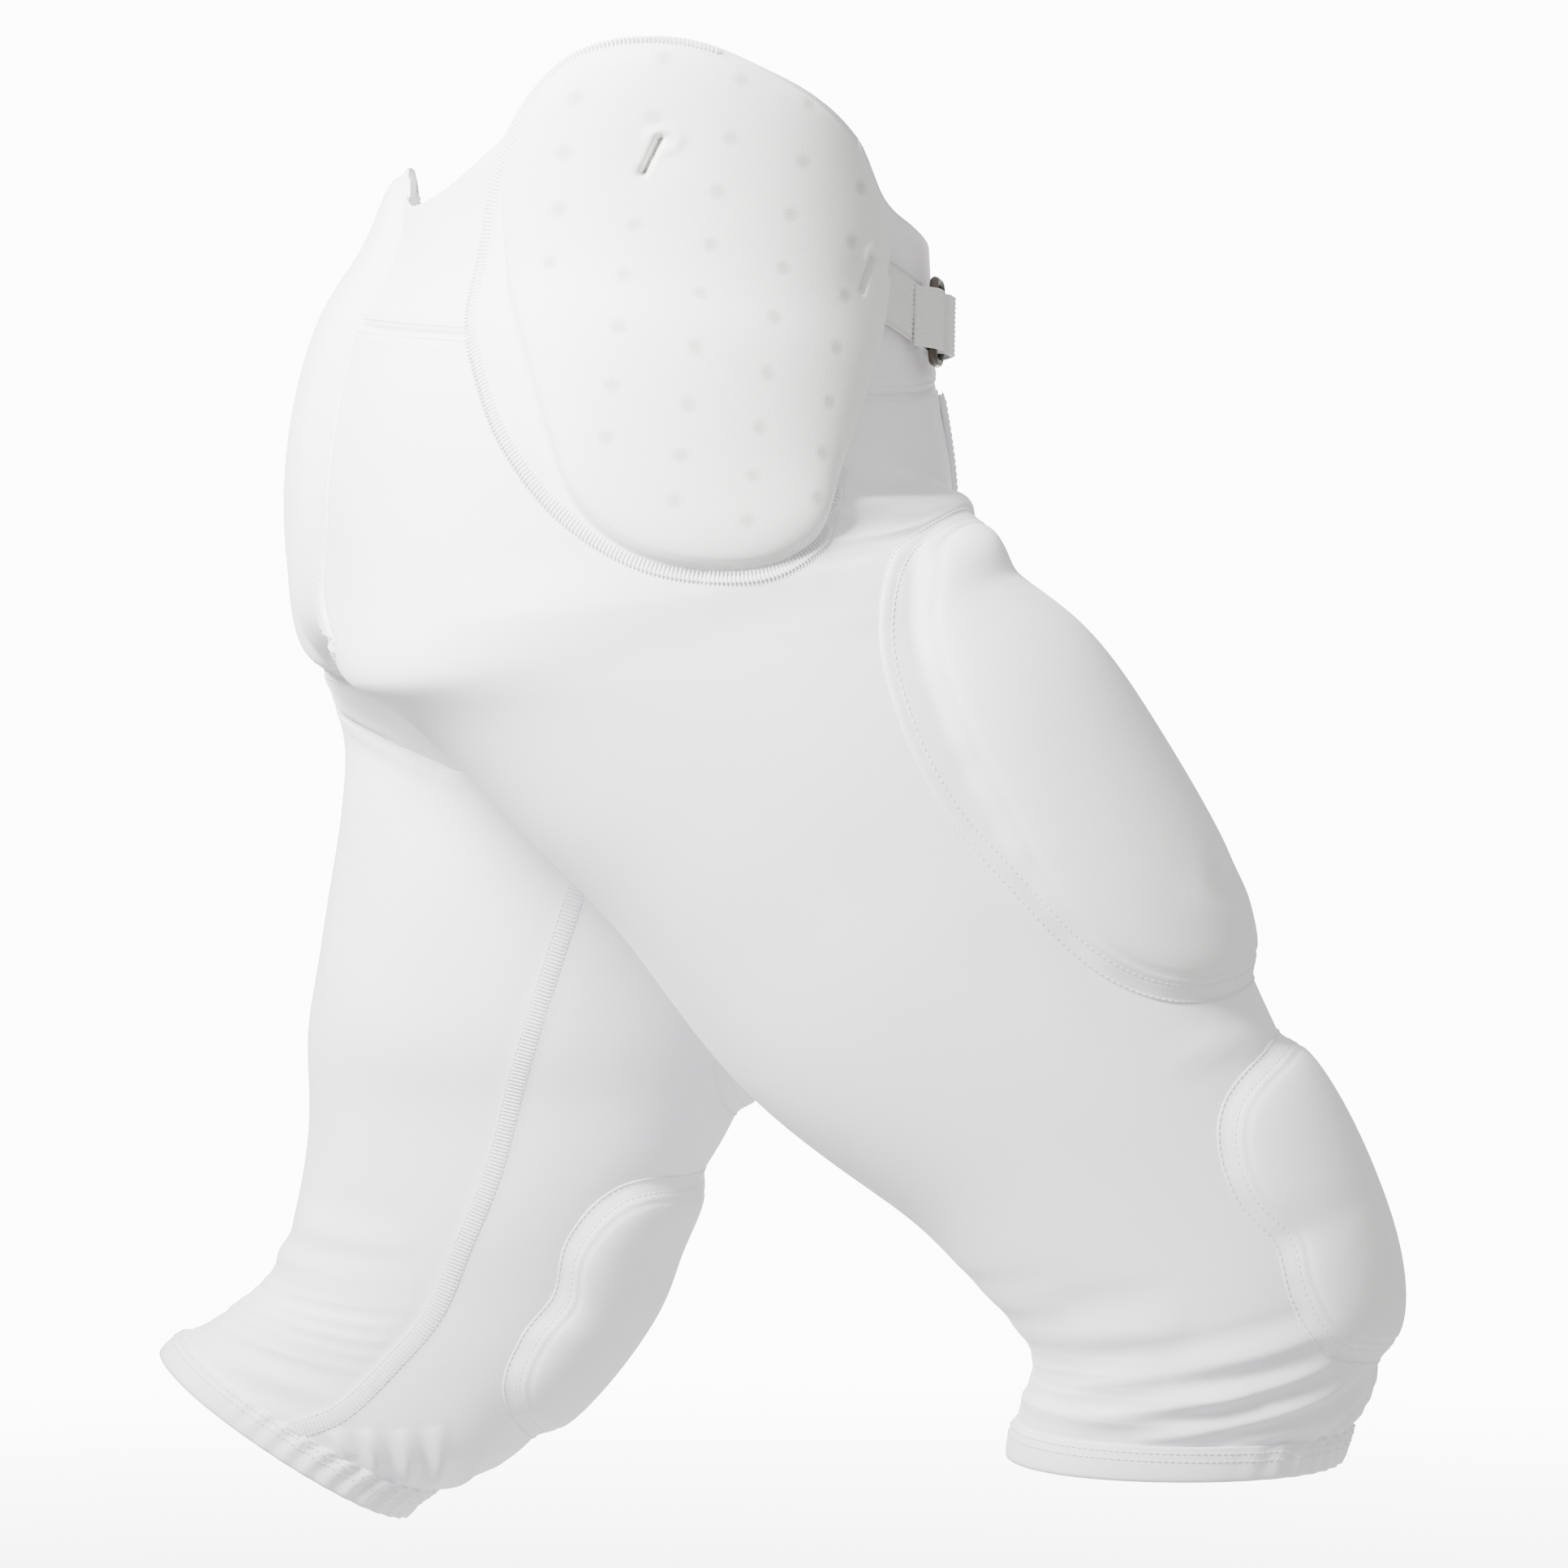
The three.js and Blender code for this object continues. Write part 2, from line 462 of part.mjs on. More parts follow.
// The whole garment down to the hems as one patch of surface; each face names its panel.
function garmentPatch() {
  const vertices = [];
  const faces = [];
  const panels = [];
  const index = new Map();
  const count = EDGE_SHARES.length + HIP_ROWS.length;
  const rowAt = (line, column) => {
    if (line < EDGE_SHARES.length) return THREE.MathUtils.lerp(edgeRow(column), YOKE_ROW, EDGE_SHARES[line]);
    const row = [...HIP_ROWS, ...LEG_ROWS][line - EDGE_SHARES.length];
    const past = Math.max(column - seamColumn(TAIL_END_ROW), 0) / (BACK - seamColumn(TAIL_END_ROW));
    return row === TAIL_END_ROW ? THREE.MathUtils.lerp(row, TAIL_POINT_ROW, past) : row;
  };
  const columnsAt = (line) => {
    const seam = seamColumn(line < EDGE_SHARES.length ? 0.4 + line * 0.5 : rowAt(line, 0));
    const columns = Array.from({ length: TO_SEAM + 1 }, (_, i) => (i * seam) / TO_SEAM);
    const onLeg = line >= count - 1;
    const steps = onLeg ? TAIL_STEPS + INNER_STEPS : TAIL_STEPS;
    if (line === count - 1) {
      const back = Array.from({ length: TAIL_STEPS }, (_, i) => THREE.MathUtils.lerp(seam, BACK, (i + 1) / TAIL_STEPS));
      const inner = Array.from({ length: INNER_STEPS - 1 }, (_, i) => BACK + ((ROUND - BACK) * (i + 1)) / INNER_STEPS);
      return [...columns, ...back, ...inner];
    }
    const end = onLeg ? ROUND : BACK;
    const rest = Array.from({ length: onLeg ? steps - 1 : steps }, (_, i) => seam + ((end - seam) * (i + 1)) / steps);
    return [...columns, ...rest];
  };
  const panelOf = (side, line, column) => {
    const row = line < EDGE_SHARES.length ? 0 : HIP_ROWS[line - EDGE_SHARES.length] ?? LEG_ROWS[0];
    if (column >= TO_SEAM && row < TAIL_END_ROW) return "tail_panel";
    if (column >= TO_SEAM && row < GUSSET_ROW) return "gusset";
    if (column < FRONT_YOKE_STEPS && row < FRONT_YOKE_ROW) return "front_yoke";
    if (column >= HIP_STEPS && row < YOKE_ROW) return `back_yoke_${side}`;
    return `leg_panel_${side}`;
  };
  for (const side of Object.keys(SIDES)) {
    const lines = Array.from({ length: count + LEG_ROWS.length }, (_, line) =>
      columnsAt(line).map((column, i) => {
        const row = rowAt(line, column);
        const shared = line < count && (i === 0 || column >= BACK);
        const key = `${shared ? "both" : side} ${i} ${line}`;
        if (!index.has(key)) index.set(key, vertices.push(foldedAt(side, column, row)) - 1);
        return index.get(key);
      }),
    );
    for (let line = 0; line < lines.length - 1; line += 1) {
      const [upper, lower] = [lines[line], lines[line + 1]];
      const steps = line < count - 1 ? TO_SEAM + TAIL_STEPS : upper.length;
      for (let i = 0; i < steps; i += 1) {
        const j = (i + 1) % lower.length;
        const face = [upper[i], upper[line < count - 1 ? i + 1 : j], lower[j], lower[i]];
        faces.push(side === "right" ? face : face.reverse());
        panels.push(panelOf(side, line, i));
      }
    }
  }
  return { vertices, faces, panels };
}

// One panel of a patch, drawn in by half a gap along its edges.
function panelPatch({ vertices, faces, panels }, name) {
  const own = faces.filter((_, i) => panels[i] === name);
  const used = [...new Set(own.flat())];
  const moved = new Map(used.map((i) => [i, new THREE.Vector3()]));
  const open = new Map();
  for (const face of own)
    face.forEach((a, i) => {
      const b = face[(i + 1) % face.length];
      if (!open.delete(`${b} ${a}`)) open.set(`${a} ${b}`, [a, b]);
    });
  for (const [a, b] of open.values()) {
    const along = vertices[b].point.clone().sub(vertices[a].point).normalize();
    for (const end of [a, b]) moved.get(end).add(vertices[end].normal.clone().cross(along).normalize());
  }
  const number = new Map(used.map((i, k) => [i, k]));
  return {
    vertices: used.map((i) => {
      const inward = moved.get(i);
      const length = inward.length();
      const point = vertices[i].point.clone();
      if (length > 0) point.addScaledVector(inward, GAP / length ** 2);
      return { point, normal: vertices[i].normal };
    }),
    faces: own.map((face) => face.map((i) => number.get(i))),
  };
}

// Carries an outline of [across, out] points along stations, each a point with the normal of the surface there.
function sweep(stations, outline) {
  const points = [];
  const triangles = [];
  const count = outline.length;
  stations.forEach(({ point, normal }, i) => {
    const before = stations[Math.max(i - 1, 0)].point;
    const after = stations[Math.min(i + 1, stations.length - 1)].point;
    const across = after.clone().sub(before).cross(normal).normalize();
    for (const [x, out] of outline)
      points.push(point.clone().addScaledVector(across, x).addScaledVector(normal, out));
    if (i === 0) return;
    for (let k = 0; k < count; k += 1) {
      const [a, b] = [(i - 1) * count + k, (i - 1) * count + ((k + 1) % count)];
      triangles.push([a, b, b + count], [a, b + count, a + count]);
    }
  });
  const last = points.length - count;
  for (let k = 1; k < count - 1; k += 1) {
    triangles.push([0, k + 1, k], [last, last + k, last + k + 1]);
  }
  const made = solidFrom(points, triangles);
  return made.volume() > 0 ? made : solidFrom(points, triangles.map(([a, b, c]) => [a, c, b]));
}

// A walk over the surface from a column and row, straight ahead as a stretched thread lies. turn is the heading
// in degrees from straight down the leg towards the front. Gives the place at each of the distances, rising.
function walk(side, start, turn, distances) {
  const step = 4;
  const nudge = 0.02;
  const slopes = (column, row) => {
    const near = (a, b) => surfaceAt(side, column + a, row + b).point;
    return [
      near(nudge, 0).sub(near(-nudge, 0)).divideScalar(2 * nudge),
      near(0, nudge).sub(near(0, -nudge)).divideScalar(2 * nudge),
    ];
  };
  let [column, row] = start;
  const { normal } = surfaceAt(side, column, row);
  const down = slopes(column, row)[1].normalize();
  const front = down.clone().cross(normal).multiplyScalar(SIDES[side]);
  const angle = THREE.MathUtils.degToRad(turn);
  const heading = down.multiplyScalar(Math.cos(angle)).addScaledVector(front, Math.sin(angle));
  let gone = 0;
  return distances.map((distance) => {
    const steps = Math.ceil((distance - gone) / step);
    for (let i = 0; i < steps; i += 1) {
      const [across, along] = slopes(column, row);
      const [aa, ab, bb] = [across.dot(across), across.dot(along), along.dot(along)];
      const [ha, hb] = [heading.dot(across), heading.dot(along)];
      const length = (distance - gone) / steps;
      column += (length * (ha * bb - hb * ab)) / (aa * bb - ab * ab);
      row += (length * (hb * aa - ha * ab)) / (aa * bb - ab * ab);
      heading.projectOnPlane(surfaceAt(side, column, row).normal).normalize();
    }
    gone = distance;
    return [column, row];
  });
}

// Outlines: reach from the middle by turn in degrees, as shares of half the pad's length. The back half of the
// hip pad is narrower below, and the knee pad is drawn in at its middle so that it bends with the knee.
const hipReach = curveThrough([
  [0, 1], [15, 1.03], [30, 1.04], [42, 0.98], [58, 0.83], [80, 0.76], [100, 0.8], [120, 0.87], [150, 0.88], [180, 0.87],
  [205, 0.96], [225, 1], [250, 0.9], [275, 0.74], [300, 0.68], [325, 0.76], [345, 0.92],
], 360);
const kneeReach = curveThrough([
  [0, 1], [25, 1.05], [48, 1.14], [68, 1.04], [88, 0.94], [108, 1.14], [130, 1.26], [155, 1.08], [180, 1], [205, 1.08],
  [230, 1.26], [252, 1.14], [272, 0.94], [292, 1.04], [312, 1.14], [335, 1.05],
], 360);
// An oval with squared corners, as shares of half its length.
const ovalReach = (narrow, power) => (turn) => {
  const angle = THREE.MathUtils.degToRad(turn);
  return (Math.abs(Math.cos(angle)) ** power + Math.abs(Math.sin(angle) / narrow) ** power) ** (-1 / power);
};

// Width of the hip cover beyond the pad by turn, as a share of the pad's length: wide below and behind it, where
// the cover runs on to its seam.
const hipBorder = curveThrough([
  [0, 0.024], [30, 0.024], [90, 0.02], [150, 0.01], [210, 0.01], [235, 0.02], [262, 0.06], [285, 0.105], [308, 0.11],
  [328, 0.085], [345, 0.04],
], 360);

// Pads: their middle by column and row, their outline, the border of the cover that is sewn over them, and seat,
// the height of both undersides over the fabric's middle, which clears the flat facets of the fabric.
const PADS = [
  {
    pad: "hip_pad", cover: "hip_cover", middle: { right: [3.55, 1.5], left: [3.55, 1.5] }, seat: 3.2, reach: hipReach,
    slots: [[4.45, 0.83], [2.2, 0.88]],
    length: HIP_PAD_LENGTH, thickness: HIP_PAD_THICKNESS, crown: 5,
    border: (turn) => hipBorder(turn) * HIP_PAD_LENGTH,
  },
  {
    pad: "thigh_pad", cover: "thigh_pocket", middle: { right: [1.52, 8.8], left: [1.52, 8.1] }, seat: 3.6,
    reach: ovalReach(THIGH_PAD_WIDTH / THIGH_PAD_LENGTH, 2.7),
    length: THIGH_PAD_LENGTH, thickness: THIGH_PAD_THICKNESS, border: () => POCKET_BORDER, crown: 3.2,
  },
  {
    pad: "knee_pad", cover: "knee_pocket", middle: { right: [1.18, 12.87], left: [1.18, 13.1] }, seat: 2.7, reach: kneeReach,
    length: KNEE_PAD_LENGTH, thickness: KNEE_PAD_THICKNESS, border: () => POCKET_BORDER, crown: 2.6,
  },
];
const TAIL_PAD = {
  pad: "tail_pad", cover: "tail_cover", middle: { right: [BACK, 2.85] }, seat: 3.2,
  reach: ovalReach(TAIL_PAD_WIDTH / TAIL_PAD_LENGTH, 2.6),
  length: TAIL_PAD_LENGTH, thickness: TAIL_PAD_THICKNESS, border: () => COVER_BORDER, crown: 3.2,
};
const RAYS = 18;
const PAD_RINGS = [0.36, 0.68, 0.9, 1]; // shares of the reach
const COVER_SLOPE = 4; // how far beyond the pad's rim its cover comes down to the fabric

const padHeight = (spec, share) => PAD_EDGE + (spec.thickness - PAD_EDGE) * Math.max(1 - share ** spec.crown, 0) ** 0.7;

// Rings of points round a pad's middle at shares of its reach, then at distances by turn beyond its rim.
function padPatch(spec, side, shares, beyond) {
  const at = (column, row) => foldedAt(side, column, row);
  const middle = spec.middle[side];
  const vertices = [at(...middle)];
  const faces = [];
  const turns = Array.from({ length: RAYS }, (_, i) => (i * 360) / RAYS);
  const rings = shares.length + beyond.length;
  for (const turn of turns) {
    const reach = (spec.reach(turn) * spec.length) / 2;
    const stops = [...shares.map((share) => share * reach), ...beyond.map((distance) => reach + distance(turn))];
    vertices.push(...walk(side, middle, turn, stops).map(([column, row]) => at(column, row)));
  }
  turns.forEach((_, i) => {
    const [a, b] = [1 + i * rings, 1 + ((i + 1) % RAYS) * rings];
    faces.push([0, a, b]);
    for (let ring = 0; ring < rings - 1; ring += 1) faces.push([a + ring, a + ring + 1, b + ring + 1, b + ring]);
  });
  return { vertices, faces };
}

// Repeats the heights of one ray for all rays, after the height at the middle.
const heights = (middle, ray) => [middle, ...Array.from({ length: RAYS }, () => ray).flat()];

const garment = garmentPatch();
const garmentCut = thicken(garment, -FABRIC / 2 - GAP, FABRIC / 2 + GAP);
const panel = (name) => thicken(panelPatch(garment, name), -FABRIC / 2, FABRIC / 2);

// The largest piece of what is left of a solid beside another.
const clearOf = (solid, other) => solid.subtract(other).decompose().sort((a, b) => b.volume() - a.volume())[0];

// A belt slot through a hip pad: a short bar standing on the fabric at a column and row.
function slotBar(side, [column, row], grow) {
  const { point, normal } = surfaceAt(side, column, row);
  const down = surfaceAt(side, column, row + 0.2).point.sub(point).projectOnPlane(normal).normalize();
  const [half, long] = [SLOT_WIDTH / 2 + grow, SLOT_LENGTH / 2 + grow];
  const stations = [-1, 1].map((end) => ({
    point: point.clone().addScaledVector(normal, end * 2 * HIP_PAD_THICKNESS),
    normal: down,
  }));
  return sweep(stations, [[-half, -long], [half, -long], [half, long], [-half, long]]);
}

// A pad, the cover over it, and the block that other pieces are cut back by beside them.
function makePad(spec, side) {
  const patch = padPatch(spec, side, PAD_RINGS, []);
  const top = PAD_RINGS.map((share) => padHeight(spec, share));
  const coverPatch = (grow) =>
    padPatch(spec, side, PAD_RINGS, [() => COVER_SLOPE, (turn) => COVER_SLOPE + spec.border(turn) + grow]);
  const under = [...top.map((height) => height + GAP), spec.seat, spec.seat];
  const over = (grow) => heights(spec.thickness + GAP + COVER_CLOTH + grow, under.map((h) => h + COVER_CLOTH + grow));
  let pad = thicken(patch, spec.seat, heights(spec.thickness, top));
  let cover = thicken(coverPatch(0), heights(spec.thickness + GAP, under), over(0));
  for (const slot of spec.slots ?? []) {
    pad = pad.subtract(slotBar(side, slot, GAP));
    cover = cover.subtract(slotBar(side, slot, 0));
  }
  return {
    pad: clearOf(pad, garmentCut),
    cover: clearOf(cover, garmentCut),
    block: thicken(coverPatch(GAP), 0, over(GAP)),
  };
}

// The turned hem of a leg, a band with gathers round the front of the leg.
function makeHem(side) {
  const columns = Array.from({ length: HEM_SPACES }, (_, i) => {
    const gathered = (HEM_SPACES * 3) / 4;
    if (i < gathered) return GATHERS.from + ((GATHERS.to - GATHERS.from) * i) / gathered;
    return GATHERS.to + ((ROUND - GATHERS.to + GATHERS.from) * (i - gathered)) / (HEM_SPACES - gathered);
  });
  const vertices = columns.flatMap((column) => {
    const share = (column - GATHERS.from) / (GATHERS.to - GATHERS.from);
    const wave = share < 1 ? Math.sin(Math.PI * share) * Math.cos(2 * Math.PI * GATHERS.count * share) : 0;
    return [HEM_TOP + HEM_GAP, HEM_END].map((row) => {
      const { point, normal } = surfaceAt(side, column, row);
      return { point: point.addScaledVector(normal, wave * GATHERS.height), normal };
    });
  });
  const faces = columns.map((_, i) => {
    const j = (i + 1) % columns.length;
    return [2 * i, 2 * i + 1, 2 * j + 1, 2 * j];
  });
  return thicken({ vertices, faces }, -HEM_FABRIC / 2, HEM_FABRIC / 2);
}

// The place of the ring: its middle, the belt's direction there towards the wearer's left, and its normal.
const ring = surfaceAt("right", RING_COLUMN, beltRow(RING_COLUMN));
ring.along = surfaceAt("right", RING_COLUMN - 0.2, beltRow(RING_COLUMN - 0.2)).point.sub(ring.point);
ring.along.projectOnPlane(ring.normal).normalize();
ring.across = ring.along.clone().cross(ring.normal);

function makeRing() {
  const steps = 24;
  const sides = 8;
  const halfDepth = RING_DEPTH / 2;
  const path = Array.from({ length: steps }, (_, i) => {
    const angle = (2 * Math.PI * i) / steps;
    const along = halfDepth * signedPower(Math.cos(angle), Math.cos(angle) > 0 ? 0.5 : 0.25);
    return ring.point.clone()
      .addScaledVector(ring.normal, RING_HEIGHT)
      .addScaledVector(ring.along, along)
      .addScaledVector(ring.across, RING_HALF * signedPower(Math.sin(angle), 0.5));
  });
  const points = path.flatMap((point, i) => {
    const along = path[(i + 1) % steps].clone().sub(path[(i + steps - 1) % steps]).normalize();
    const out = along.cross(ring.normal);
    return Array.from({ length: sides }, (_, k) => {
      const angle = (2 * Math.PI * k) / sides;
      return point.clone()
        .addScaledVector(out, (Math.cos(angle) * RING_WIRE) / 2)
        .addScaledVector(ring.normal, (Math.sin(angle) * RING_WIRE) / 2);
    });
  });
  const triangles = path.flatMap((_, i) =>
    Array.from({ length: sides }, (__, k) => {
      const [a, b] = [i * sides, ((i + 1) % steps) * sides];
      const next = (k + 1) % sides;
      return [[a + k, a + next, b + next], [a + k, b + next, b + k]];
    }).flat(),
  );
  const made = solidFrom(points, triangles);
  return made.volume() > 0 ? made : solidFrom(points, triangles.map(([a, b, c]) => [a, c, b]));
}

// A belt end: webbing that lies on the fabric from a far column to the ring, turns round it and runs back on
// itself to where it is stitched down. way is 1 for the end that comes from the right and -1 from the left.
function makeWebbing(way, farColumn, back, radius, turnAt) {
  const flat = WEBBING_WIDTH / 2;
  const outline = [[-flat, -WEBBING / 2], [flat, -WEBBING / 2], [flat, WEBBING / 2], [-flat, WEBBING / 2]];
  const onRing = (along, out, direction) => ({
    point: ring.point.clone().addScaledVector(ring.along, along).addScaledVector(ring.normal, out),
    normal: direction,
  });
  const steps = 7;
  const lower = Array.from({ length: steps }, (_, i) => {
    const column = THREE.MathUtils.lerp(farColumn, RING_COLUMN + way * 0.28, i / (steps - 1));
    const { point, normal } = surfaceAt("right", column, beltRow(Math.abs(column)));
    return { point: point.addScaledVector(normal, RING_HEIGHT - radius), normal: normal.negate() };
  });
  const turn = Array.from({ length: 7 }, (_, i) => {
    const angle = (Math.PI * i) / 6;
    const radial = ring.normal.clone().multiplyScalar(-Math.cos(angle)).addScaledVector(ring.along, way * Math.sin(angle));
    return onRing(turnAt + way * radius * Math.sin(angle), RING_HEIGHT - radius * Math.cos(angle), radial);
  });
  const sewn = RING_HEIGHT - radius + WEBBING + GAP;
  const upper = [[0.3, 0.95], [0.6, 0.45], [0.8, 0.1], [1, 0]].map(([share, lift]) => {
    const flatAlong = turnAt - way * back * share;
    const sag = flatAlong ** 2 / (2 * FRONT_RADIUS);
    return onRing(flatAlong, THREE.MathUtils.lerp(sewn, RING_HEIGHT + radius, lift) - sag * (1 - lift), ring.normal);
  });
  return sweep([...lower, ...turn, ...upper], outline);
}

// The placket over the front opening, a strip down the front centre.
function makeFly() {
  const halfColumns = FLY_WIDTH / 2 / FRONT_COLUMN_WIDTH;
  const rows = 4;
  const across = 4;
  const vertices = [];
  const faces = [];
  for (let i = 0; i <= rows; i += 1)
    for (let k = 0; k <= across; k += 1) {
      const row = FRONT_YOKE_ROW + 0.1 + (FLY_LENGTH / FRONT_ROW_HEIGHT) * (i / rows);
      vertices.push(surfaceAt("right", THREE.MathUtils.lerp(-halfColumns, halfColumns, k / across), row));
      if (i && k) {
        const at = i * (across + 1) + k;
        faces.push([at - across - 2, at - 1, at, at - across - 1]);
      }
    }
  return thicken({ vertices, faces }, FLY_SEAT, FLY_SEAT + 1.2);
}

// Colour, roughness and metalness of each stuff
const STUFFS = {
  knit: { color: 0xf4f4f7, roughness: 0.82 },
  seat: { color: 0xf6f6f9, roughness: 0.7 },
  foam: { color: 0xe9e9e6, roughness: 0.9 },
  cover: { color: 0xf1f1ee, roughness: 0.85 },
  webbing: { color: 0xf2f2f0, roughness: 0.9 },
  metal: { color: 0xb9b2a4, roughness: 0.35, metalness: 0.9 },
};

// A solid as a named mesh
function meshOf(name, solid, stuff) {
  const { numProp, vertProperties, triVerts } = solid.getMesh();
  const corners = Array.from(triVerts, (i) => [...vertProperties.subarray(i * numProp, i * numProp + 3)]).flat();
  const geometry = new THREE.BufferGeometry().setAttribute("position", new THREE.Float32BufferAttribute(corners, 3));
  geometry.computeVertexNormals();
  const mesh = new THREE.Mesh(geometry, new THREE.MeshStandardMaterial(STUFFS[stuff]));
  mesh.name = name;
  return mesh;
}

const group = new THREE.Group();
group.name = "integrated_football_pants";
for (const name of ["front_yoke", "back_yoke_right", "back_yoke_left", "leg_panel_right", "leg_panel_left"])
  group.add(meshOf(name, panel(name), "knit"));
group.add(meshOf("tail_panel", panel("tail_panel"), "seat"));
const beside = (name) => thicken(panelPatch(garment, name), -FABRIC / 2 - GAP, FABRIC / 2 + GAP);
const gusset = ["tail_panel", "leg_panel_right"].reduce((solid, name) => clearOf(solid, beside(name)), panel("gusset"));
group.add(meshOf("gusset", gusset, "seat"));

const blocks = {};
for (const side of Object.keys(SIDES)) {
  group.add(meshOf(`hem_band_${side}`, makeHem(side), "knit"));
  for (const spec of PADS) {
    const { pad, cover, block } = makePad(spec, side);
    group.add(meshOf(`${spec.pad}_${side}`, pad, "foam"));
    group.add(meshOf(`${spec.cover}_${side}`, cover, "cover"));
    if (spec.pad === "hip_pad") blocks[side] = block;
  }
}
const tail = makePad(TAIL_PAD, "right");
group.add(meshOf("tail_pad", tail.pad, "foam"));
group.add(meshOf("tail_cover", tail.cover, "cover"));

const halfRing = RING_DEPTH / 2;
const rightEnd = makeWebbing(1, RING_COLUMN + 1.3, 20, BAR_TURN, -halfRing);
const leftEnd = makeWebbing(-1, -2.1, 34, CURVE_TURN, halfRing - 0.5);
group.add(meshOf("belt_webbing_right", clearOf(rightEnd, blocks.right), "webbing"));
group.add(meshOf("belt_webbing_left", clearOf(leftEnd, blocks.left), "webbing"));
group.add(meshOf("belt_ring", makeRing(), "metal"));
group.add(meshOf("fly_placket", clearOf(makeFly(), garmentCut), "knit"));

export default group;
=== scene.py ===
"""Integrated football pants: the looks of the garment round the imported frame, in metres, in the worn form."""
import math

import bpy
import numpy as np
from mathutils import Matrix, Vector, kdtree


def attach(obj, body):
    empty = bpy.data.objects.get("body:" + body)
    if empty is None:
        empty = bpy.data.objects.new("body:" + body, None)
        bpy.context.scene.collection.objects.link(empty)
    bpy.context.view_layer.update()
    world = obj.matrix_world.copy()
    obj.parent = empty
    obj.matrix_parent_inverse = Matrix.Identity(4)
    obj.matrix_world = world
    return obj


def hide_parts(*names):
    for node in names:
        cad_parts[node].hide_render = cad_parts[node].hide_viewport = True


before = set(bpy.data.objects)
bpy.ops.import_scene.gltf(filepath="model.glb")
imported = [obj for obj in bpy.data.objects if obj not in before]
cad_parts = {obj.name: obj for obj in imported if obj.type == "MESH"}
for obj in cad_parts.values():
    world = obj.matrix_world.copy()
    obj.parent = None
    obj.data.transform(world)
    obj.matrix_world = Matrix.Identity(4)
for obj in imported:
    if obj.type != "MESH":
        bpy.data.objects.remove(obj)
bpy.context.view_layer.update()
MM = 0.001

# Camera: a long lens from the wearer's right, 5 degrees above the level of the hips.
CAMERA_TARGET = Vector((0.0505, 0, -0.2407))
CAMERA_DISTANCE = 2.8
CAMERA_RISE = math.radians(5)
camera = bpy.data.objects.new("camera", bpy.data.cameras.new("camera"))
camera.data.sensor_width = 36
camera.data.lens = 148.7
back = Vector((0, -math.cos(CAMERA_RISE), math.sin(CAMERA_RISE)))
camera.location = CAMERA_TARGET + back * CAMERA_DISTANCE
camera.rotation_mode = "QUATERNION"
camera.rotation_quaternion = (-back).to_track_quat("-Z", "Y")
bpy.context.scene.collection.objects.link(camera)
bpy.context.scene.camera = camera


# ---- Materials
def linear(code):
    """A linear colour from an sRGB hex code."""
    parts = [int(code[i:i + 2], 16) / 255 for i in (1, 3, 5)]
    return [c / 12.92 if c <= 0.04045 else ((c + 0.055) / 1.055) ** 2.4 for c in parts] + [1]


def add(tree, kind, inputs=(), **settings):
    """Adds a node with settings and input values; an input given as a socket is linked."""
    node = tree.nodes.new(kind)
    for name, value in settings.items():
        setattr(node, name, value)
    for key, value in dict(inputs).items():
        if isinstance(value, bpy.types.NodeSocket):
            tree.links.new(value, node.inputs[key])
        else:
            node.inputs[key].default_value = value
    return node


def stuff(name, colour, roughness, grain, depth, sheen=0.0, metallic=0.0, soft=0.0):
    """A material with a fine grain: grain in millimetres, depth in millimetres."""
    material = bpy.data.materials.new(name)
    material.use_nodes = True
    tree = material.node_tree
    shader = tree.nodes["Principled BSDF"]
    place = add(tree, "ShaderNodeTexCoord").outputs["Object"]
    noise = add(tree, "ShaderNodeTexNoise", {"Vector": place, "Scale": 1 / (grain * MM), "Detail": 3.0})
    bump = add(tree, "ShaderNodeBump", {"Height": noise.outputs[0], "Strength": 1.0, "Distance": depth * MM})
    shade = add(tree, "ShaderNodeTexNoise", {"Vector": place, "Scale": 9.0, "Detail": 2.0})
    dark = [c * 0.965 for c in linear(colour)[:3]] + [1]
    mix = add(tree, "ShaderNodeMix", {0: shade.outputs[0], 6: linear(colour), 7: dark}, data_type="RGBA")
    tree.links.new(mix.outputs[2], shader.inputs["Base Color"])
    tree.links.new(bump.outputs[0], shader.inputs["Normal"])
    shader.inputs["Roughness"].default_value = roughness
    shader.inputs["Metallic"].default_value = metallic
    shader.inputs["Sheen Weight"].default_value = sheen
    shader.inputs["Subsurface Weight"].default_value = soft
    shader.inputs["Subsurface Scale"].default_value = 0.004
    return material


KNIT = stuff("stretch_knit", "#f1f1f5", 0.62, 0.9, 0.06, sheen=0.25, soft=0.1)
SEAT_KNIT = stuff("satin_stretch_knit", "#f3f3f7", 0.5, 1.1, 0.05, sheen=0.3, soft=0.1)
COVER = stuff("pad_cover_knit", "#f0f0ed", 0.75, 0.8, 0.08, sheen=0.2)
tree = COVER.node_tree
# The hip cover is painted darker (#cfcfcc) over its embossed dots: painted shade for the shade in their dents, which
# the mesh makes only 0.12 mm deep.
dot_shade_mask = add(tree, "ShaderNodeAttribute", attribute_name="dot_shade_mask")
plain = tree.nodes["Principled BSDF"].inputs["Base Color"].links[0].from_socket
dot_painted_shade = add(tree, "ShaderNodeMix", {0: dot_shade_mask.outputs["Fac"], 6: plain, 7: linear("#cfcfcc")}, data_type="RGBA")
tree.links.new(dot_painted_shade.outputs[2], tree.nodes["Principled BSDF"].inputs["Base Color"])
POCKET = stuff("pocket_knit", "#eeeeec", 0.72, 0.8, 0.08, sheen=0.2)
THREAD = stuff("polyester_thread", "#e9e9ec", 0.55, 0.4, 0.03)
WEBBING = stuff("woven_webbing", "#e9e9e6", 0.8, 0.5, 0.15)
METAL = stuff("plated_steel", "#5d5850", 0.3, 4.0, 0.01, metallic=0.9)

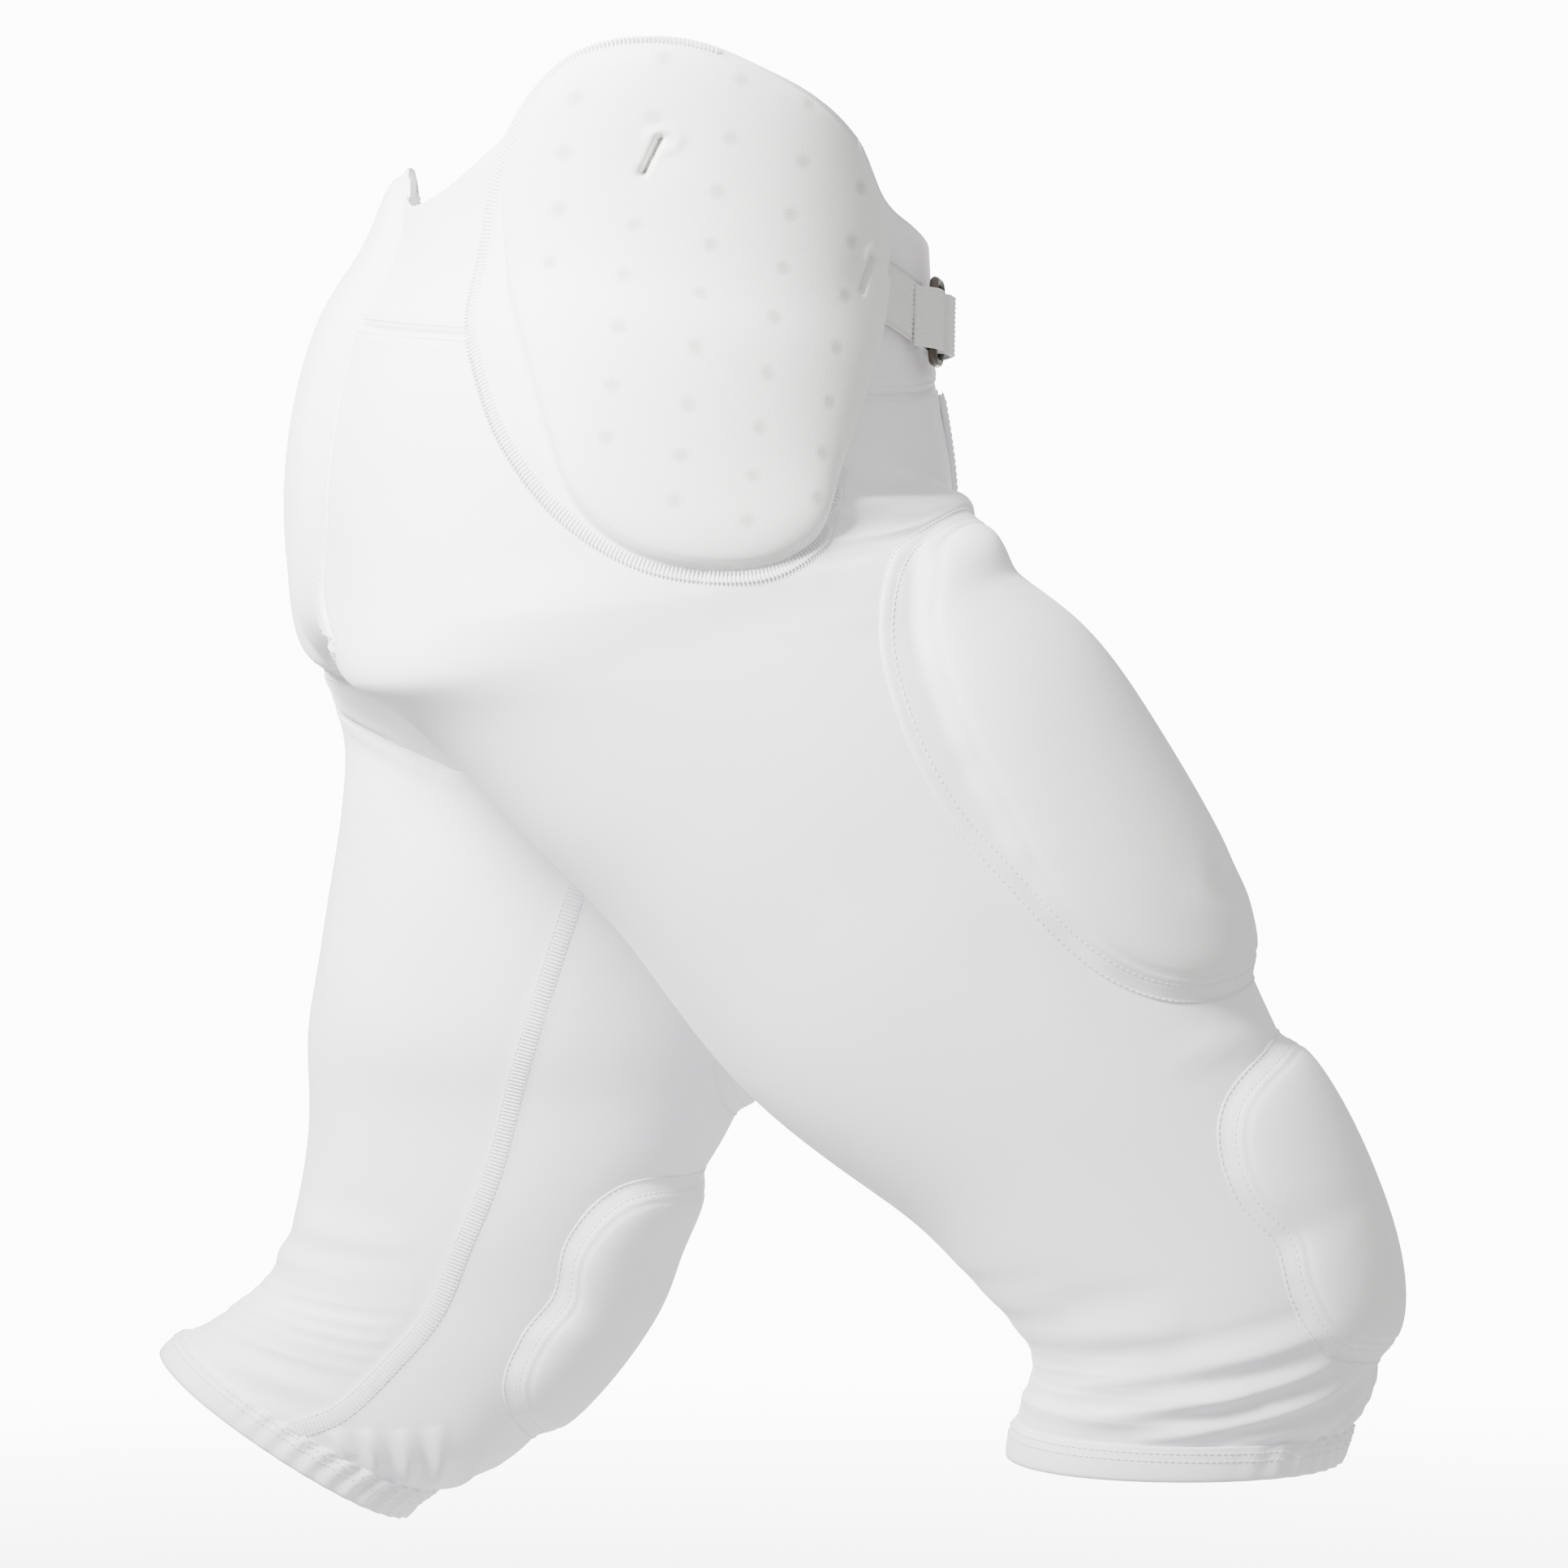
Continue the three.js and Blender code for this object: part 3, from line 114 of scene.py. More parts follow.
# ---- The form of the garment
STRIDE, DROP, TOP_RISE = 390, 582, 110
SIZES = {"waist": (226, 300), "seat": (271, 376), "thigh": (234, 376), "calf": (144, 376)}
# size, forward (of STRIDE), drop (of DROP), tilt, depth, outer, inner (of the size), split, wrap, fullness, dip
HIP = [
    ("waist", 0.005, -TOP_RISE / DROP, -4.4, 0.92, 1.02, 0, 0, 0, 2.25, 0),
    ("waist", -0.001, 0.006, -4.3, 1, 1, 0, 0, 0, 2.15, 0),
    ("seat", -0.027, 0.079, -3.2, 0.913, 0.867, 0, 0, 0, 2.1, 0),
    ("seat", -0.037, 0.162, -1.3, 0.994, 0.936, 0, 0, 0, 2.08, 0),
]
RISE = [
    ("seat", -0.042, 0.247, 0, 0.993, 0, 0, 0, 0, 2, 0),
    ("seat", -0.058, 0.326, 0.8, 0.845, 0, 0, 0, 0, 2, 0),
    ("seat", -0.064, 0.388, 0, 0.435, 0, 0, 0, 0, 2, 0),
]
LEGS = [
    [
        ("seat", -0.029, 0.22, 5, 1.026, 0.979, 0, 0.15, 10, 2.08, 0),
        ("seat", -0.026, 0.252, 9, 1.016, 0.995, 0, 0.45, 30, 2.08, 0),
        ("seat", -0.001, 0.281, 11.6, 0.976, 1, 0, 1, 58, 2.1, 0.06),
        ("thigh", 0.049, 0.31, 13, 1.043, 1, 0.021, 1, 50, 2.1, 0.11),
        ("thigh", 0.14, 0.371, 19, 1, 0.995, 0.043, 1, 42, 2.1, 0.08),
        ("thigh", 0.235, 0.448, 21.1, 0.949, 0.979, 0.074, 1, 38, 2.1, 0.045),
        ("thigh", 0.337, 0.545, 25.5, 0.894, 0.952, 0.128, 1, 36, 2.1, 0.015),
        ("thigh", 0.44, 0.621, 31.1, 0.754, 0.926, 0.181, 1, 36, 2.1, 0),
        ("calf", 0.501, 0.681, 26.1, 1.122, 0.91, 0.223, 1, 36, 2.1, 0),
        ("calf", 0.556, 0.74, 18.3, 1.039, 0.904, 0.25, 1, 36, 2.1, 0),
        ("calf", 0.585, 0.79, 9.6, 1, 0.899, 0.266, 1, 36, 2.1, 0),
        ("calf", 0.579, 0.827, 3.6, 1, 0.894, 0.266, 1, 36, 2.1, 0),
        ("calf", 0.558, 0.859, 0, 0.965, 0.883, 0.277, 1, 36, 2.1, 0),
        ("calf", 0.549, 0.883, 0, 0.958, 0.883, 0.277, 1, 36, 2.1, 0),
    ],
    [
        ("seat", -0.046, 0.252, 0.2, 1.026, 0.979, 0, 0.15, 10, 2.08, 0),
        ("seat", -0.051, 0.318, 0.9, 0.989, 0.995, 0, 0.45, 30, 2.08, 0),
        ("seat", -0.056, 0.367, 1.1, 0.93, 1, 0, 1, 58, 2.1, 0),
        ("thigh", -0.067, 0.41, 0.7, 1.009, 1, 0.021, 1, 50, 2.1, 0.02),
        ("thigh", -0.096, 0.493, 1.5, 0.97, 0.989, 0.053, 1, 42, 2.1, 0.015),
        ("thigh", -0.142, 0.595, 0.5, 0.902, 0.968, 0.106, 1, 38, 2.1, 0.01),
        ("thigh", -0.165, 0.659, -0.9, 0.842, 0.947, 0.16, 1, 36, 2.1, 0),
        ("thigh", -0.19, 0.718, -1.9, 0.77, 0.931, 0.197, 1, 36, 2.1, 0),
        ("calf", -0.227, 0.777, -1.7, 1.146, 0.915, 0.229, 1, 36, 2.1, 0),
        ("calf", -0.258, 0.826, -1.7, 1.146, 0.91, 0.255, 1, 36, 2.1, 0),
        ("calf", -0.31, 0.868, -12.6, 1.082, 0.899, 0.266, 1, 36, 2.1, 0),
        ("calf", -0.367, 0.905, -23.1, 1.042, 0.894, 0.271, 1, 36, 2.1, 0),
        ("calf", -0.422, 0.92, -31.4, 0.92, 0.883, 0.277, 1, 36, 2.1, 0),
        ("calf", -0.451, 0.937, -33.6, 0.917, 0.883, 0.277, 1, 36, 2.1, 0),
    ],
]
CROTCH, HEM_TOP, HEM_END, BACK, ROUND = 6, 16, 17, 8, 12
RIGHT, LEFT = 0, 1


def section_point(section, side, angle):
    """A point of a section; angle 0 is the front and 180 degrees the back."""
    size, forward, drop, tilt, deep, outer, inner, split, _, fullness, dip = section
    depth, width = SIZES[size]
    bend = lambda v: math.copysign(abs(v) ** (2 / fullness), v)
    along = depth / 2 * deep * bend(math.cos(angle))
    outer, inner = width / 2 * outer, width / 2 * inner
    middle = split * (outer + inner) / 2
    half = outer - middle if math.sin(angle) > 0 else middle - inner
    out = max(middle + half * bend(math.sin(angle)), 0)
    lower = dip * DROP * max(-math.sin(angle), 0) ** 1.5
    tilt = math.radians(tilt)
    return (forward * STRIDE + along * math.cos(tilt), (out if side else -out),
            -drop * DROP + along * math.sin(tilt) - lower)


def build_cage():
    """The coarse net over both hips and legs: points, four-sided faces, and each corner's column and row."""
    points, faces, places, sides, index = [], [], [], [], {}

    def put(key, point):
        if key not in index:
            index[key] = len(points)
            points.append(point)
        return index[key]

    rise = HIP + RISE
    centre = lambda row, angle: (lambda p: (p[0], 0, p[2]))(section_point(rise[row], LEFT, angle))
    for side in (RIGHT, LEFT):
        grid = []
        for row, section in enumerate(HIP + LEGS[side]):
            wrap = math.radians(section[8])
            line = []
            for column in range(BACK + 1 if row < CROTCH else ROUND):
                if row <= CROTCH and column in (0, BACK):
                    line.append(put((column, row), centre(row, math.pi if column else 0)))
                elif row == CROTCH and column > BACK:
                    share = (column - BACK) / (ROUND - BACK)
                    a, b = np.array(centre(row, math.pi)), np.array(centre(row, 0))
                    line.append(put((column, row), a + (b - a) * share - (0, 0, 6 * math.sin(math.pi * share))))
                else:
                    angle = -wrap + (math.pi + 2 * wrap) * column / BACK
                    if column > BACK:
                        angle = math.pi + wrap + (math.pi - 2 * wrap) * (column - BACK) / (ROUND - BACK)
                    line.append(put((side, column, row), section_point(section, side, angle)))
            grid.append(line)
        for row in range(len(grid) - 1):
            for column in range(BACK if row < CROTCH else ROUND):
                corners = [(0, 0), (1, 0), (1, 1), (0, 1)]
                if side:
                    corners.reverse()
                faces.append([grid[row + b][(column + a) % (BACK + 1 if row + b < CROTCH else ROUND)]
                              for a, b in corners])
                places.append([(column + a, row + b) for a, b in corners])
                sides.append(side)
    return np.array(points, float), np.array(faces), np.array(places, float), np.array(sides)


def smooth(points, faces, places, sides):
    """One round of smoothing by the rule of Catmull and Clark, with open edges kept as curves."""
    n, m = len(points), len(faces)
    centres = points[faces].mean(1)
    ends = np.sort(np.stack([faces, np.roll(faces, -1, 1)], -1).reshape(-1, 2))
    edges, which, count = np.unique(ends, axis=0, return_inverse=True, return_counts=True)
    which = which.reshape(m, 4)
    middles = points[edges].mean(1)
    sums = np.zeros_like(middles)
    np.add.at(sums, which.ravel(), np.repeat(centres, 4, 0))
    is_open = count == 1
    edge_points = np.where(is_open[:, None], middles, (middles * 2 + sums) / 4)
    around, faces_at, edges_at, rim = np.zeros_like(points), np.zeros(n), np.zeros(n), np.zeros_like(points)
    np.add.at(around, faces.ravel(), np.repeat(centres, 4, 0))
    np.add.at(faces_at, faces.ravel(), 1)
    ring = np.zeros_like(points)
    for k in (0, 1):
        np.add.at(ring, edges[:, k], middles)
        np.add.at(edges_at, edges[:, k], 1)
        np.add.at(rim, edges[is_open][:, k], middles[is_open])
    on_rim = np.zeros(n, bool)
    on_rim[edges[is_open].ravel()] = True
    valence = edges_at[:, None]
    inner = (around / faces_at[:, None] + 2 * ring / valence + (valence - 3) * points) / valence
    moved = np.where(on_rim[:, None], points / 2 + rim / 4, inner)
    fresh = np.concatenate([moved, edge_points, centres])
    edge_index, centre_index = n + which, n + len(edges) + np.arange(m)
    middle_at = (places + np.roll(places, -1, 1)) / 2
    centre_at = (places[:, 0] + places[:, 2]) / 2
    quads, at = [], []
    for k in range(4):
        quads.append(np.stack([faces[:, k], edge_index[:, k], centre_index, edge_index[:, k - 1]], -1))
        at.append(np.stack([places[:, k], middle_at[:, k], centre_at, middle_at[:, k - 1]], 1))
    return fresh, np.concatenate(quads), np.concatenate(at), np.tile(sides, 4)


def smoothed(net, levels):
    for _ in range(levels):
        net = smooth(*net)
    return net


net = build_cage()
targets = net[0].copy()
cage = net[0].copy()
for _ in range(6):
    cage += (targets - smoothed((cage, *net[1:]), 3)[0][:len(cage)]) * 0.9
LEVELS = 4
FINE = 2 ** LEVELS
points, faces, places, sides = smoothed((cage, *net[1:]), LEVELS)
facing = np.cross(points[faces[:, 2]] - points[faces[:, 0]], points[faces[:, 3]] - points[faces[:, 1]])
normals = np.zeros_like(points)
np.add.at(normals, faces.ravel(), np.repeat(facing, 4, 0))
normals /= np.linalg.norm(normals, axis=1)[:, None]
GRID = np.zeros((2, HEM_END * FINE + 1, ROUND * FINE), int)
spot = np.rint(places * FINE).astype(int)
GRID[np.repeat(sides, 4), spot[..., 1].ravel(), spot[..., 0].ravel() % (ROUND * FINE)] = faces.ravel()
POINTS, NORMALS = points, normals


def surface(side, column, row):
    """The middle surface of the garment and its normal at columns and rows, in millimetres."""
    side, column, row = np.broadcast_arrays(side, np.asarray(column, float), np.asarray(row, float))
    over = (row < CROTCH) & ((column < 0) | (column > BACK))
    side = np.where(over, 1 - side, side)
    column = np.where(over, np.where(column < 0, -column, 2 * BACK - column), column)
    x = (column % ROUND) * FINE
    y = np.clip(row, 0, HEM_END) * FINE
    x0 = np.floor(x).astype(int)
    y0 = np.minimum(np.floor(y).astype(int), HEM_END * FINE - 1)
    point, normal = 0, 0
    for dx, dy in ((0, 0), (1, 0), (0, 1), (1, 1)):
        weight = (x - x0 if dx else 1 - x + x0) * (y - y0 if dy else 1 - y + y0)
        i = GRID[side, y0 + dy, (x0 + dx) % (ROUND * FINE)]
        point = point + POINTS[i] * weight[..., None]
        normal = normal + NORMALS[i] * weight[..., None]
    return point, normal / np.linalg.norm(normal, axis=-1)[..., None]


def curve(rows, period=0):
    """A smooth curve through rows (x, y); with a period it closes on itself."""
    xs, ys = np.array(rows, float).T
    if period:
        xs = np.concatenate([xs[-3:] - period, xs, xs[:3] + period])
        ys = np.concatenate([ys[-3:], ys, ys[:3]])
    slopes = np.gradient(ys, xs)
    slopes[1:-1] = (ys[2:] - ys[:-2]) / (xs[2:] - xs[:-2])

    def at(x):
        x = np.asarray(x, float)
        x = (x - xs[3]) % period + xs[3] if period else np.clip(x, xs[0], xs[-1])
        i = np.clip(np.searchsorted(xs, x, "right") - 1, 0, len(xs) - 2)
        step = xs[i + 1] - xs[i]
        t = (x - xs[i]) / step
        return (ys[i] * (1 - t) ** 2 * (1 + 2 * t) + ys[i + 1] * t ** 2 * (3 - 2 * t)
                + slopes[i] * step * t * (1 - t) ** 2 - slopes[i + 1] * step * t ** 2 * (1 - t))
    return at


# Folds in the worn cloth: side, from column and row, to column and row, half width and height in millimetres.
FOLDS = [
    (RIGHT, 7.4, 13.2, 4.2, 13.5, 12, 3.2), (RIGHT, 7.8, 13.9, 4.6, 14.2, 9, 3.8),
    (RIGHT, 7.8, 14.6, 3.6, 14.9, 8, 3.6), (RIGHT, 7.4, 15.2, 3.9, 15.5, 7, 3.2),
    (RIGHT, 5.6, 14.4, 2.7, 14.0, 8, 3.0), (RIGHT, 5.4, 15.3, 2.7, 14.5, 6, 3.2),
    (RIGHT, 4.6, 15.8, 2.4, 14.9, 6, 3.2), (RIGHT, 3.6, 15.9, 2.1, 15.2, 4.5, 2.6),
    (RIGHT, 2.8, 15.9, 1.8, 15.0, 4.5, 2.8), (RIGHT, 2.1, 15.9, 1.5, 14.9, 4.5, 2.8),
    (RIGHT, 1.4, 15.9, 1.1, 14.9, 4.5, 2.6), (RIGHT, 0.7, 15.9, 0.6, 14.9, 4.5, 2.6),
    (RIGHT, -0.1, 15.9, 0.1, 15, 5, 2.6), (RIGHT, -0.9, 15.9, -0.5, 15, 5, 2.6),
    (RIGHT, 6.9, 12.6, 5.2, 12.8, 10, 1.6), (RIGHT, 3.2, 11.0, 1.9, 11.3, 7, 1.3),
    (RIGHT, 3.6, 4.8, 1.2, 5.6, 14, 3.6), (RIGHT, 2.5, 3.6, 1.2, 4.8, 9, 3.2),
    (RIGHT, 3.2, 4.3, 0.8, 5.2, 7, 2.8), (RIGHT, 2.7, 3.4, 0.8, 4.3, 7, 2.4),
    (RIGHT, 1.8, 2.9, 0.5, 4.3, 6, 2.2), (RIGHT, 5.2, 5.0, 3.0, 5.5, 16, 1.6),
    (RIGHT, 3.1, 8.6, 3.5, 10.4, 12, 0.8),
    (LEFT, 6.2, 12.4, 9.6, 12.5, 9, 3.0), (LEFT, 6.1, 12.9, 9.7, 12.9, 8, 3.6),
    (LEFT, 6.2, 13.3, 9.7, 13.3, 7, 3.8), (LEFT, 6.4, 13.7, 9.7, 13.6, 7, 3.8),
    (LEFT, 6.7, 14.1, 9.7, 13.9, 7, 3.4), (LEFT, 7.2, 11.9, 9.4, 12.0, 11, 1.8),
    (LEFT, 7.0, 14.6, 9.7, 14.2, 7, 2.8), (LEFT, 7.6, 15.2, 9.7, 14.7, 7, 2.0),
    (LEFT, 12.4, 15.9, 10.9, 14.7, 5, 2.8), (LEFT, 11.8, 15.9, 10.6, 14.9, 5, 2.8),
    (LEFT, 11.2, 15.9, 10.3, 15.1, 4.5, 2.6), (LEFT, 10.7, 15.9, 10.1, 15.4, 4.5, 2.2),
    (LEFT, 13.0, 15.9, 11.9, 14.9, 5, 2.4), (LEFT, 1.6, 15.9, 1.2, 15, 6, 2.6),
    (LEFT, 3.4, 4.8, 1.2, 5.4, 12, 1.9), (LEFT, 2.6, 3.6, 0.8, 4.4, 9, 1.7),
]
FOLD_LINES = [surface(f[0], np.linspace(f[1], f[3], 9), np.linspace(f[2], f[4], 9))[0] for f in FOLDS]


def fold_lift(side, point):
    """Height of the folds at points, in millimetres, with a soft furrow on both flanks of each."""
    lift = np.zeros(point.shape[:-1])
    for fold, line in zip(FOLDS, FOLD_LINES):
        width, height = fold[5], fold[6]
        near = (side == fold[0]) & (np.abs(point - line.mean(0)).max(-1) < 150)
        if not near.any():
            continue
        p = point[near]
        best, along = np.full(len(p), 1e9), np.zeros(len(p))
        for i in range(8):
            step = line[i + 1] - line[i]
            t = np.clip((p - line[i]) @ step / (step @ step), 0, 1)
            distance = np.linalg.norm(p - line[i] - t[:, None] * step, axis=1)
            closer = distance < best
            best, along = np.where(closer, distance, best), np.where(closer, (i + t) / 8, along)
        share = best / width
        crest = np.where(share < 2, np.cos(np.clip(share, 0, 2) * math.pi / 2) * (1 - share / 2), 0)
        lift[near] += height * np.sqrt(np.sin(math.pi * np.clip(along, 0, 1)) + 1e-9) * crest
    return lift


def ripple(point):
    """Slow, low waves that break up the long highlights of the cloth."""
    x, y, z = point[..., 0], point[..., 1], point[..., 2]
    return (0.35 * np.sin(x / 17 + 1.3 * np.sin(z / 29)) * np.sin(z / 23 + y / 31)
            + 0.2 * np.sin(z / 11 + x / 19 + 2 * np.sin(y / 27)))


def cloth(side, column, row):
    """The cloth with its folds: point and normal."""
    point, normal = surface(side, column, row)
    side = np.broadcast_to(side, point.shape[:-1])
    return point + normal * (fold_lift(side, point) + ripple(point))[..., None], normal


# ---- Meshes
def mesh_object(name, points, faces, material, slot, *nodes):
    """An object from points in millimetres that rides on the root body and stands for CAD nodes."""
    mesh = bpy.data.meshes.new(name)
    mesh.from_pydata((np.asarray(points) * MM).tolist(), [], [list(map(int, f)) for f in faces])
    mesh.materials.append(material)
    mesh.polygons.foreach_set("use_smooth", [True] * len(mesh.polygons))
    piece = bpy.data.objects.new(name, mesh)
    bpy.context.scene.collection.objects.link(piece)
    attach(piece, "root")
    if nodes:
        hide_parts(*nodes)
    return piece


def closed(point, normal, faces, low, high):
    """Points and faces of a sheet of cloth between two heights over its middle surface."""
    count = len(point)
    faces = np.asarray(faces)
    edges = np.stack([faces, np.roll(faces, -1, 1)], -1).reshape(-1, 2)
    key = edges[:, 0] * count + edges[:, 1]
    rim = edges[~np.isin(key, edges[:, 1] * count + edges[:, 0])]
    walls = np.stack([rim[:, 1], rim[:, 0], rim[:, 0] + count, rim[:, 1] + count], 1)
    ends = lambda h: point + normal * (h[:, None] if np.ndim(h) else h)
    return np.concatenate([ends(high), ends(low)]), [*faces, *(faces[:, ::-1] + count), *walls]


def grid_faces(rows, columns, wrap=False):
    """Four-sided faces of a grid of points, row by row."""
    i, j = np.meshgrid(np.arange(rows - 1), np.arange(columns if wrap else columns - 1), indexing="ij")
    i, j = i.ravel(), j.ravel()
    k = (j + 1) % columns
    return np.stack([i * columns + j, i * columns + k, (i + 1) * columns + k, (i + 1) * columns + j], 1)


# ---- Seams of the garment: side, list of (column, row)
edge_rise = curve([(0, 0), (1, 0.13), (1.6, 0.24), (2, 0.46), (2.8, 0.62), (4.4, 0.68), (5.4, 0.4), (6.4, 0.12),
                   (7, 0.04), (7.4, 0.08), (7.7, 0.2), (8, 0.22)])
seam_column = curve([(0.4, 7.42), (1.2, 7.36), (2, 7.12), (3, 6.95), (4, 6.8), (4.7, 6.55), (5.36, 6.25),
                     (5.7, 6.3), (6, 6.65), (6.55, 8), (7.2, 7.75), (8, 7.5), (9, 7.4), (16, 7.4)])
TO_SEAM, TAIL_STEPS, INNER_STEPS, YOKE_STEPS, HIP_STEPS = 11, 2, 7, 3, 8
EDGE_SHARES = [0, 0.35, 0.7]
ROWS = [2.05, 2.4, 3, 3.5, 4, 4.5, 4.95, 5.36, 6, 6.55, 7.2, 8, 9, 10, 11, 12, 12.6, 13.1, 13.6, 14, 14.4, 14.7, 15,
        15.3, 15.6, 16]
CROTCH_LINE = len(EDGE_SHARES) + 8
LINES = len(EDGE_SHARES) + len(ROWS)


def line_columns(line):
    """Columns of the net's corners on one of its lines."""
    seam = float(seam_column(0.4 + line * 0.5 if line < 3 else ROWS[line - 3]))
    columns = [i * seam / TO_SEAM for i in range(TO_SEAM + 1)]
    if line == CROTCH_LINE:
        columns += [seam + (BACK - seam) * (i + 1) / TAIL_STEPS for i in range(TAIL_STEPS)]
        columns += [BACK + (ROUND - BACK) * (i + 1) / INNER_STEPS for i in range(INNER_STEPS)]
    elif line > CROTCH_LINE:
        steps = TAIL_STEPS + INNER_STEPS
        columns += [seam + (ROUND - seam) * (i + 1) / steps for i in range(steps)]
    else:
        columns += [seam + (BACK - seam) * (i + 1) / TAIL_STEPS for i in range(TAIL_STEPS)]
    return np.array(columns)


def line_at(line, t):
    """Column and row on a line of the net at t, counted in its spaces from the front centre."""
    columns = line_columns(line)
    column = np.interp(t, np.arange(len(columns)), columns)
    if line < len(EDGE_SHARES):
        top = 1 - edge_rise(column)
        return column, top + (ROWS[0] - top) * EDGE_SHARES[line]
    row = np.full_like(column, ROWS[line - len(EDGE_SHARES)])
    if row[0] == 5.36:
        start = float(seam_column(5.36))
        row -= 0.34 * np.clip((column - start) / (BACK - start), 0, 1)
    return column, row


def panel_of(line, step):
    row = 0 if line < 3 else ROWS[line - 3]
    if step >= TO_SEAM and row < 5.36:
        return "tail_panel"
    if step >= TO_SEAM and row < 6.55:
        return "gusset"
    if step < YOKE_STEPS and row < 2.4:
        return "front_yoke"
    if step >= HIP_STEPS and row < 2.05:
        return "back_yoke"
    return "leg_panel"


INSEAM_WIDTH = 7.5
# Seam lines, each as points in millimetres with normals, for the grooves and the stitches.
def seam_line(side, stations, spacing=2.5):
    """Points and normals at even spacing along a line of (column, row) stations."""
    stations = np.array(stations, float)
    t = np.linspace(0, len(stations) - 1, 40 * len(stations))
    column = np.interp(t, np.arange(len(stations)), stations[:, 0])
    row = np.interp(t, np.arange(len(stations)), stations[:, 1])
    point, _ = cloth(side, column, row)
    length = np.concatenate([[0], np.cumsum(np.linalg.norm(np.diff(point, axis=0), axis=1))])
    even = np.linspace(0, length[-1], max(int(length[-1] / spacing), 2))
    return cloth(side, np.interp(even, length, column), np.interp(even, length, row))


def net_line(line, first, last):
    column, row = line_at(line, np.linspace(first, last, 4 * (last - first) + 1))
    return np.stack([column, row], 1)


def net_column(step, first, last):
    return np.array([[float(v[0]) for v in line_at(line, np.array([float(step)]))] for line in range(first, last + 1)])


SEAMS = {}
for side in (RIGHT, LEFT):
    SEAMS[f"tail_seam_{side}"] = seam_line(side, net_column(TO_SEAM, 0, 10))
    SEAMS[f"tail_end_seam_{side}"] = seam_line(side, net_line(10, TO_SEAM, TO_SEAM + TAIL_STEPS))
    SEAMS[f"gusset_seam_{side}"] = seam_line(side, net_column(TO_SEAM, 10, 12))
    SEAMS[f"yoke_seam_{side}"] = seam_line(side, net_line(3, HIP_STEPS, TO_SEAM))
    SEAMS[f"front_yoke_seam_{side}"] = seam_line(side, net_line(4, 0, YOKE_STEPS))
    SEAMS[f"inseam_{side}"] = seam_line(side, [(9.9, row) for row in np.arange(6.7, 16, 0.3)])
SEAMS["front_seam"] = seam_line(RIGHT, [(0, row) for row in np.arange(2.4, 6, 0.3)])
seam_points = np.concatenate([p for p, _ in SEAMS.values()])
raised = np.concatenate([[name.startswith("inseam")] * len(row[0]) for name, row in SEAMS.items()])
seam_tree = kdtree.KDTree(len(seam_points))
for i, p in enumerate(seam_points):
    seam_tree.insert(p, i)
seam_tree.balance()


def groove(point):
    """How far the cloth is drawn in along its sewn seams or stands proud along a flat one, in millimetres."""
    found = [seam_tree.find(p) for p in point]
    away, band = np.array([f[2] for f in found]), raised[[f[1] for f in found]]
    sewn = -1.1 * np.exp(-((away / 2.6) ** 2)) + 0.5 * np.exp(-(((away - 6) / 2.5) ** 2))
    return np.where(band, 0.8 / (1 + (away / INSEAM_WIDTH * 2) ** 8), sewn)


FABRIC = 1.6
SPLIT = 8


def panel(name, side_names):
    """All faces of one panel as points, normals and faces, with shared points merged."""
    grids = []
    for side in side_names:
        for line in range(LINES - 1):
            steps = TO_SEAM + TAIL_STEPS if line < CROTCH_LINE else TO_SEAM + TAIL_STEPS + INNER_STEPS
            for step in range(steps):
                if panel_of(line, step) != name:
                    continue
                t = np.linspace(step, step + 1, SPLIT + 1)
                upper, lower = line_at(line, t), line_at(line + 1, t)
                share = np.linspace(0, 1, SPLIT + 1)[:, None]
                grids.append((side, upper[0] + (lower[0] - upper[0]) * share, upper[1] + (lower[1] - upper[1]) * share))
    sides = np.repeat([g[0] for g in grids], (SPLIT + 1) ** 2)
    column = np.concatenate([g[1].ravel() for g in grids])
    row = np.concatenate([g[2].ravel() for g in grids])
    base, _ = surface(sides, column, row)
    _, first, which = np.unique(np.rint(base * 200).astype(int), axis=0, return_index=True, return_inverse=True)
    which = which.ravel()
    patch = grid_faces(SPLIT + 1, SPLIT + 1)
    faces = np.concatenate([
        which[patch + k * (SPLIT + 1) ** 2][:, ::-1 if g[0] else 1] for k, g in enumerate(grids)])
    point, normal = cloth(sides[first], column[first], row[first])
    good = np.array([len(set(f)) == 4 for f in faces])
    lift = groove(point)
    return point + normal * lift[:, None], normal, faces[good]


for name, side_names, node_names, material, slot in (
    ("leg_panel", [RIGHT], ["leg_panel_right"], KNIT, "knit"),
    ("leg_panel", [LEFT], ["leg_panel_left"], KNIT, "knit"),
    ("back_yoke", [RIGHT], ["back_yoke_right"], KNIT, "knit"),
    ("back_yoke", [LEFT], ["back_yoke_left"], KNIT, "knit"),
    ("front_yoke", [RIGHT, LEFT], ["front_yoke"], KNIT, "knit"),
    ("tail_panel", [RIGHT, LEFT], ["tail_panel"], SEAT_KNIT, "seat_knit"),
    ("gusset", [RIGHT, LEFT], ["gusset"], SEAT_KNIT, "seat_knit"),
):
    point, normal, faces = panel(name, side_names)
    mesh_object("cloth_" + node_names[0], *closed(point, normal, faces, -FABRIC / 2, FABRIC / 2),
                material, slot, *node_names)

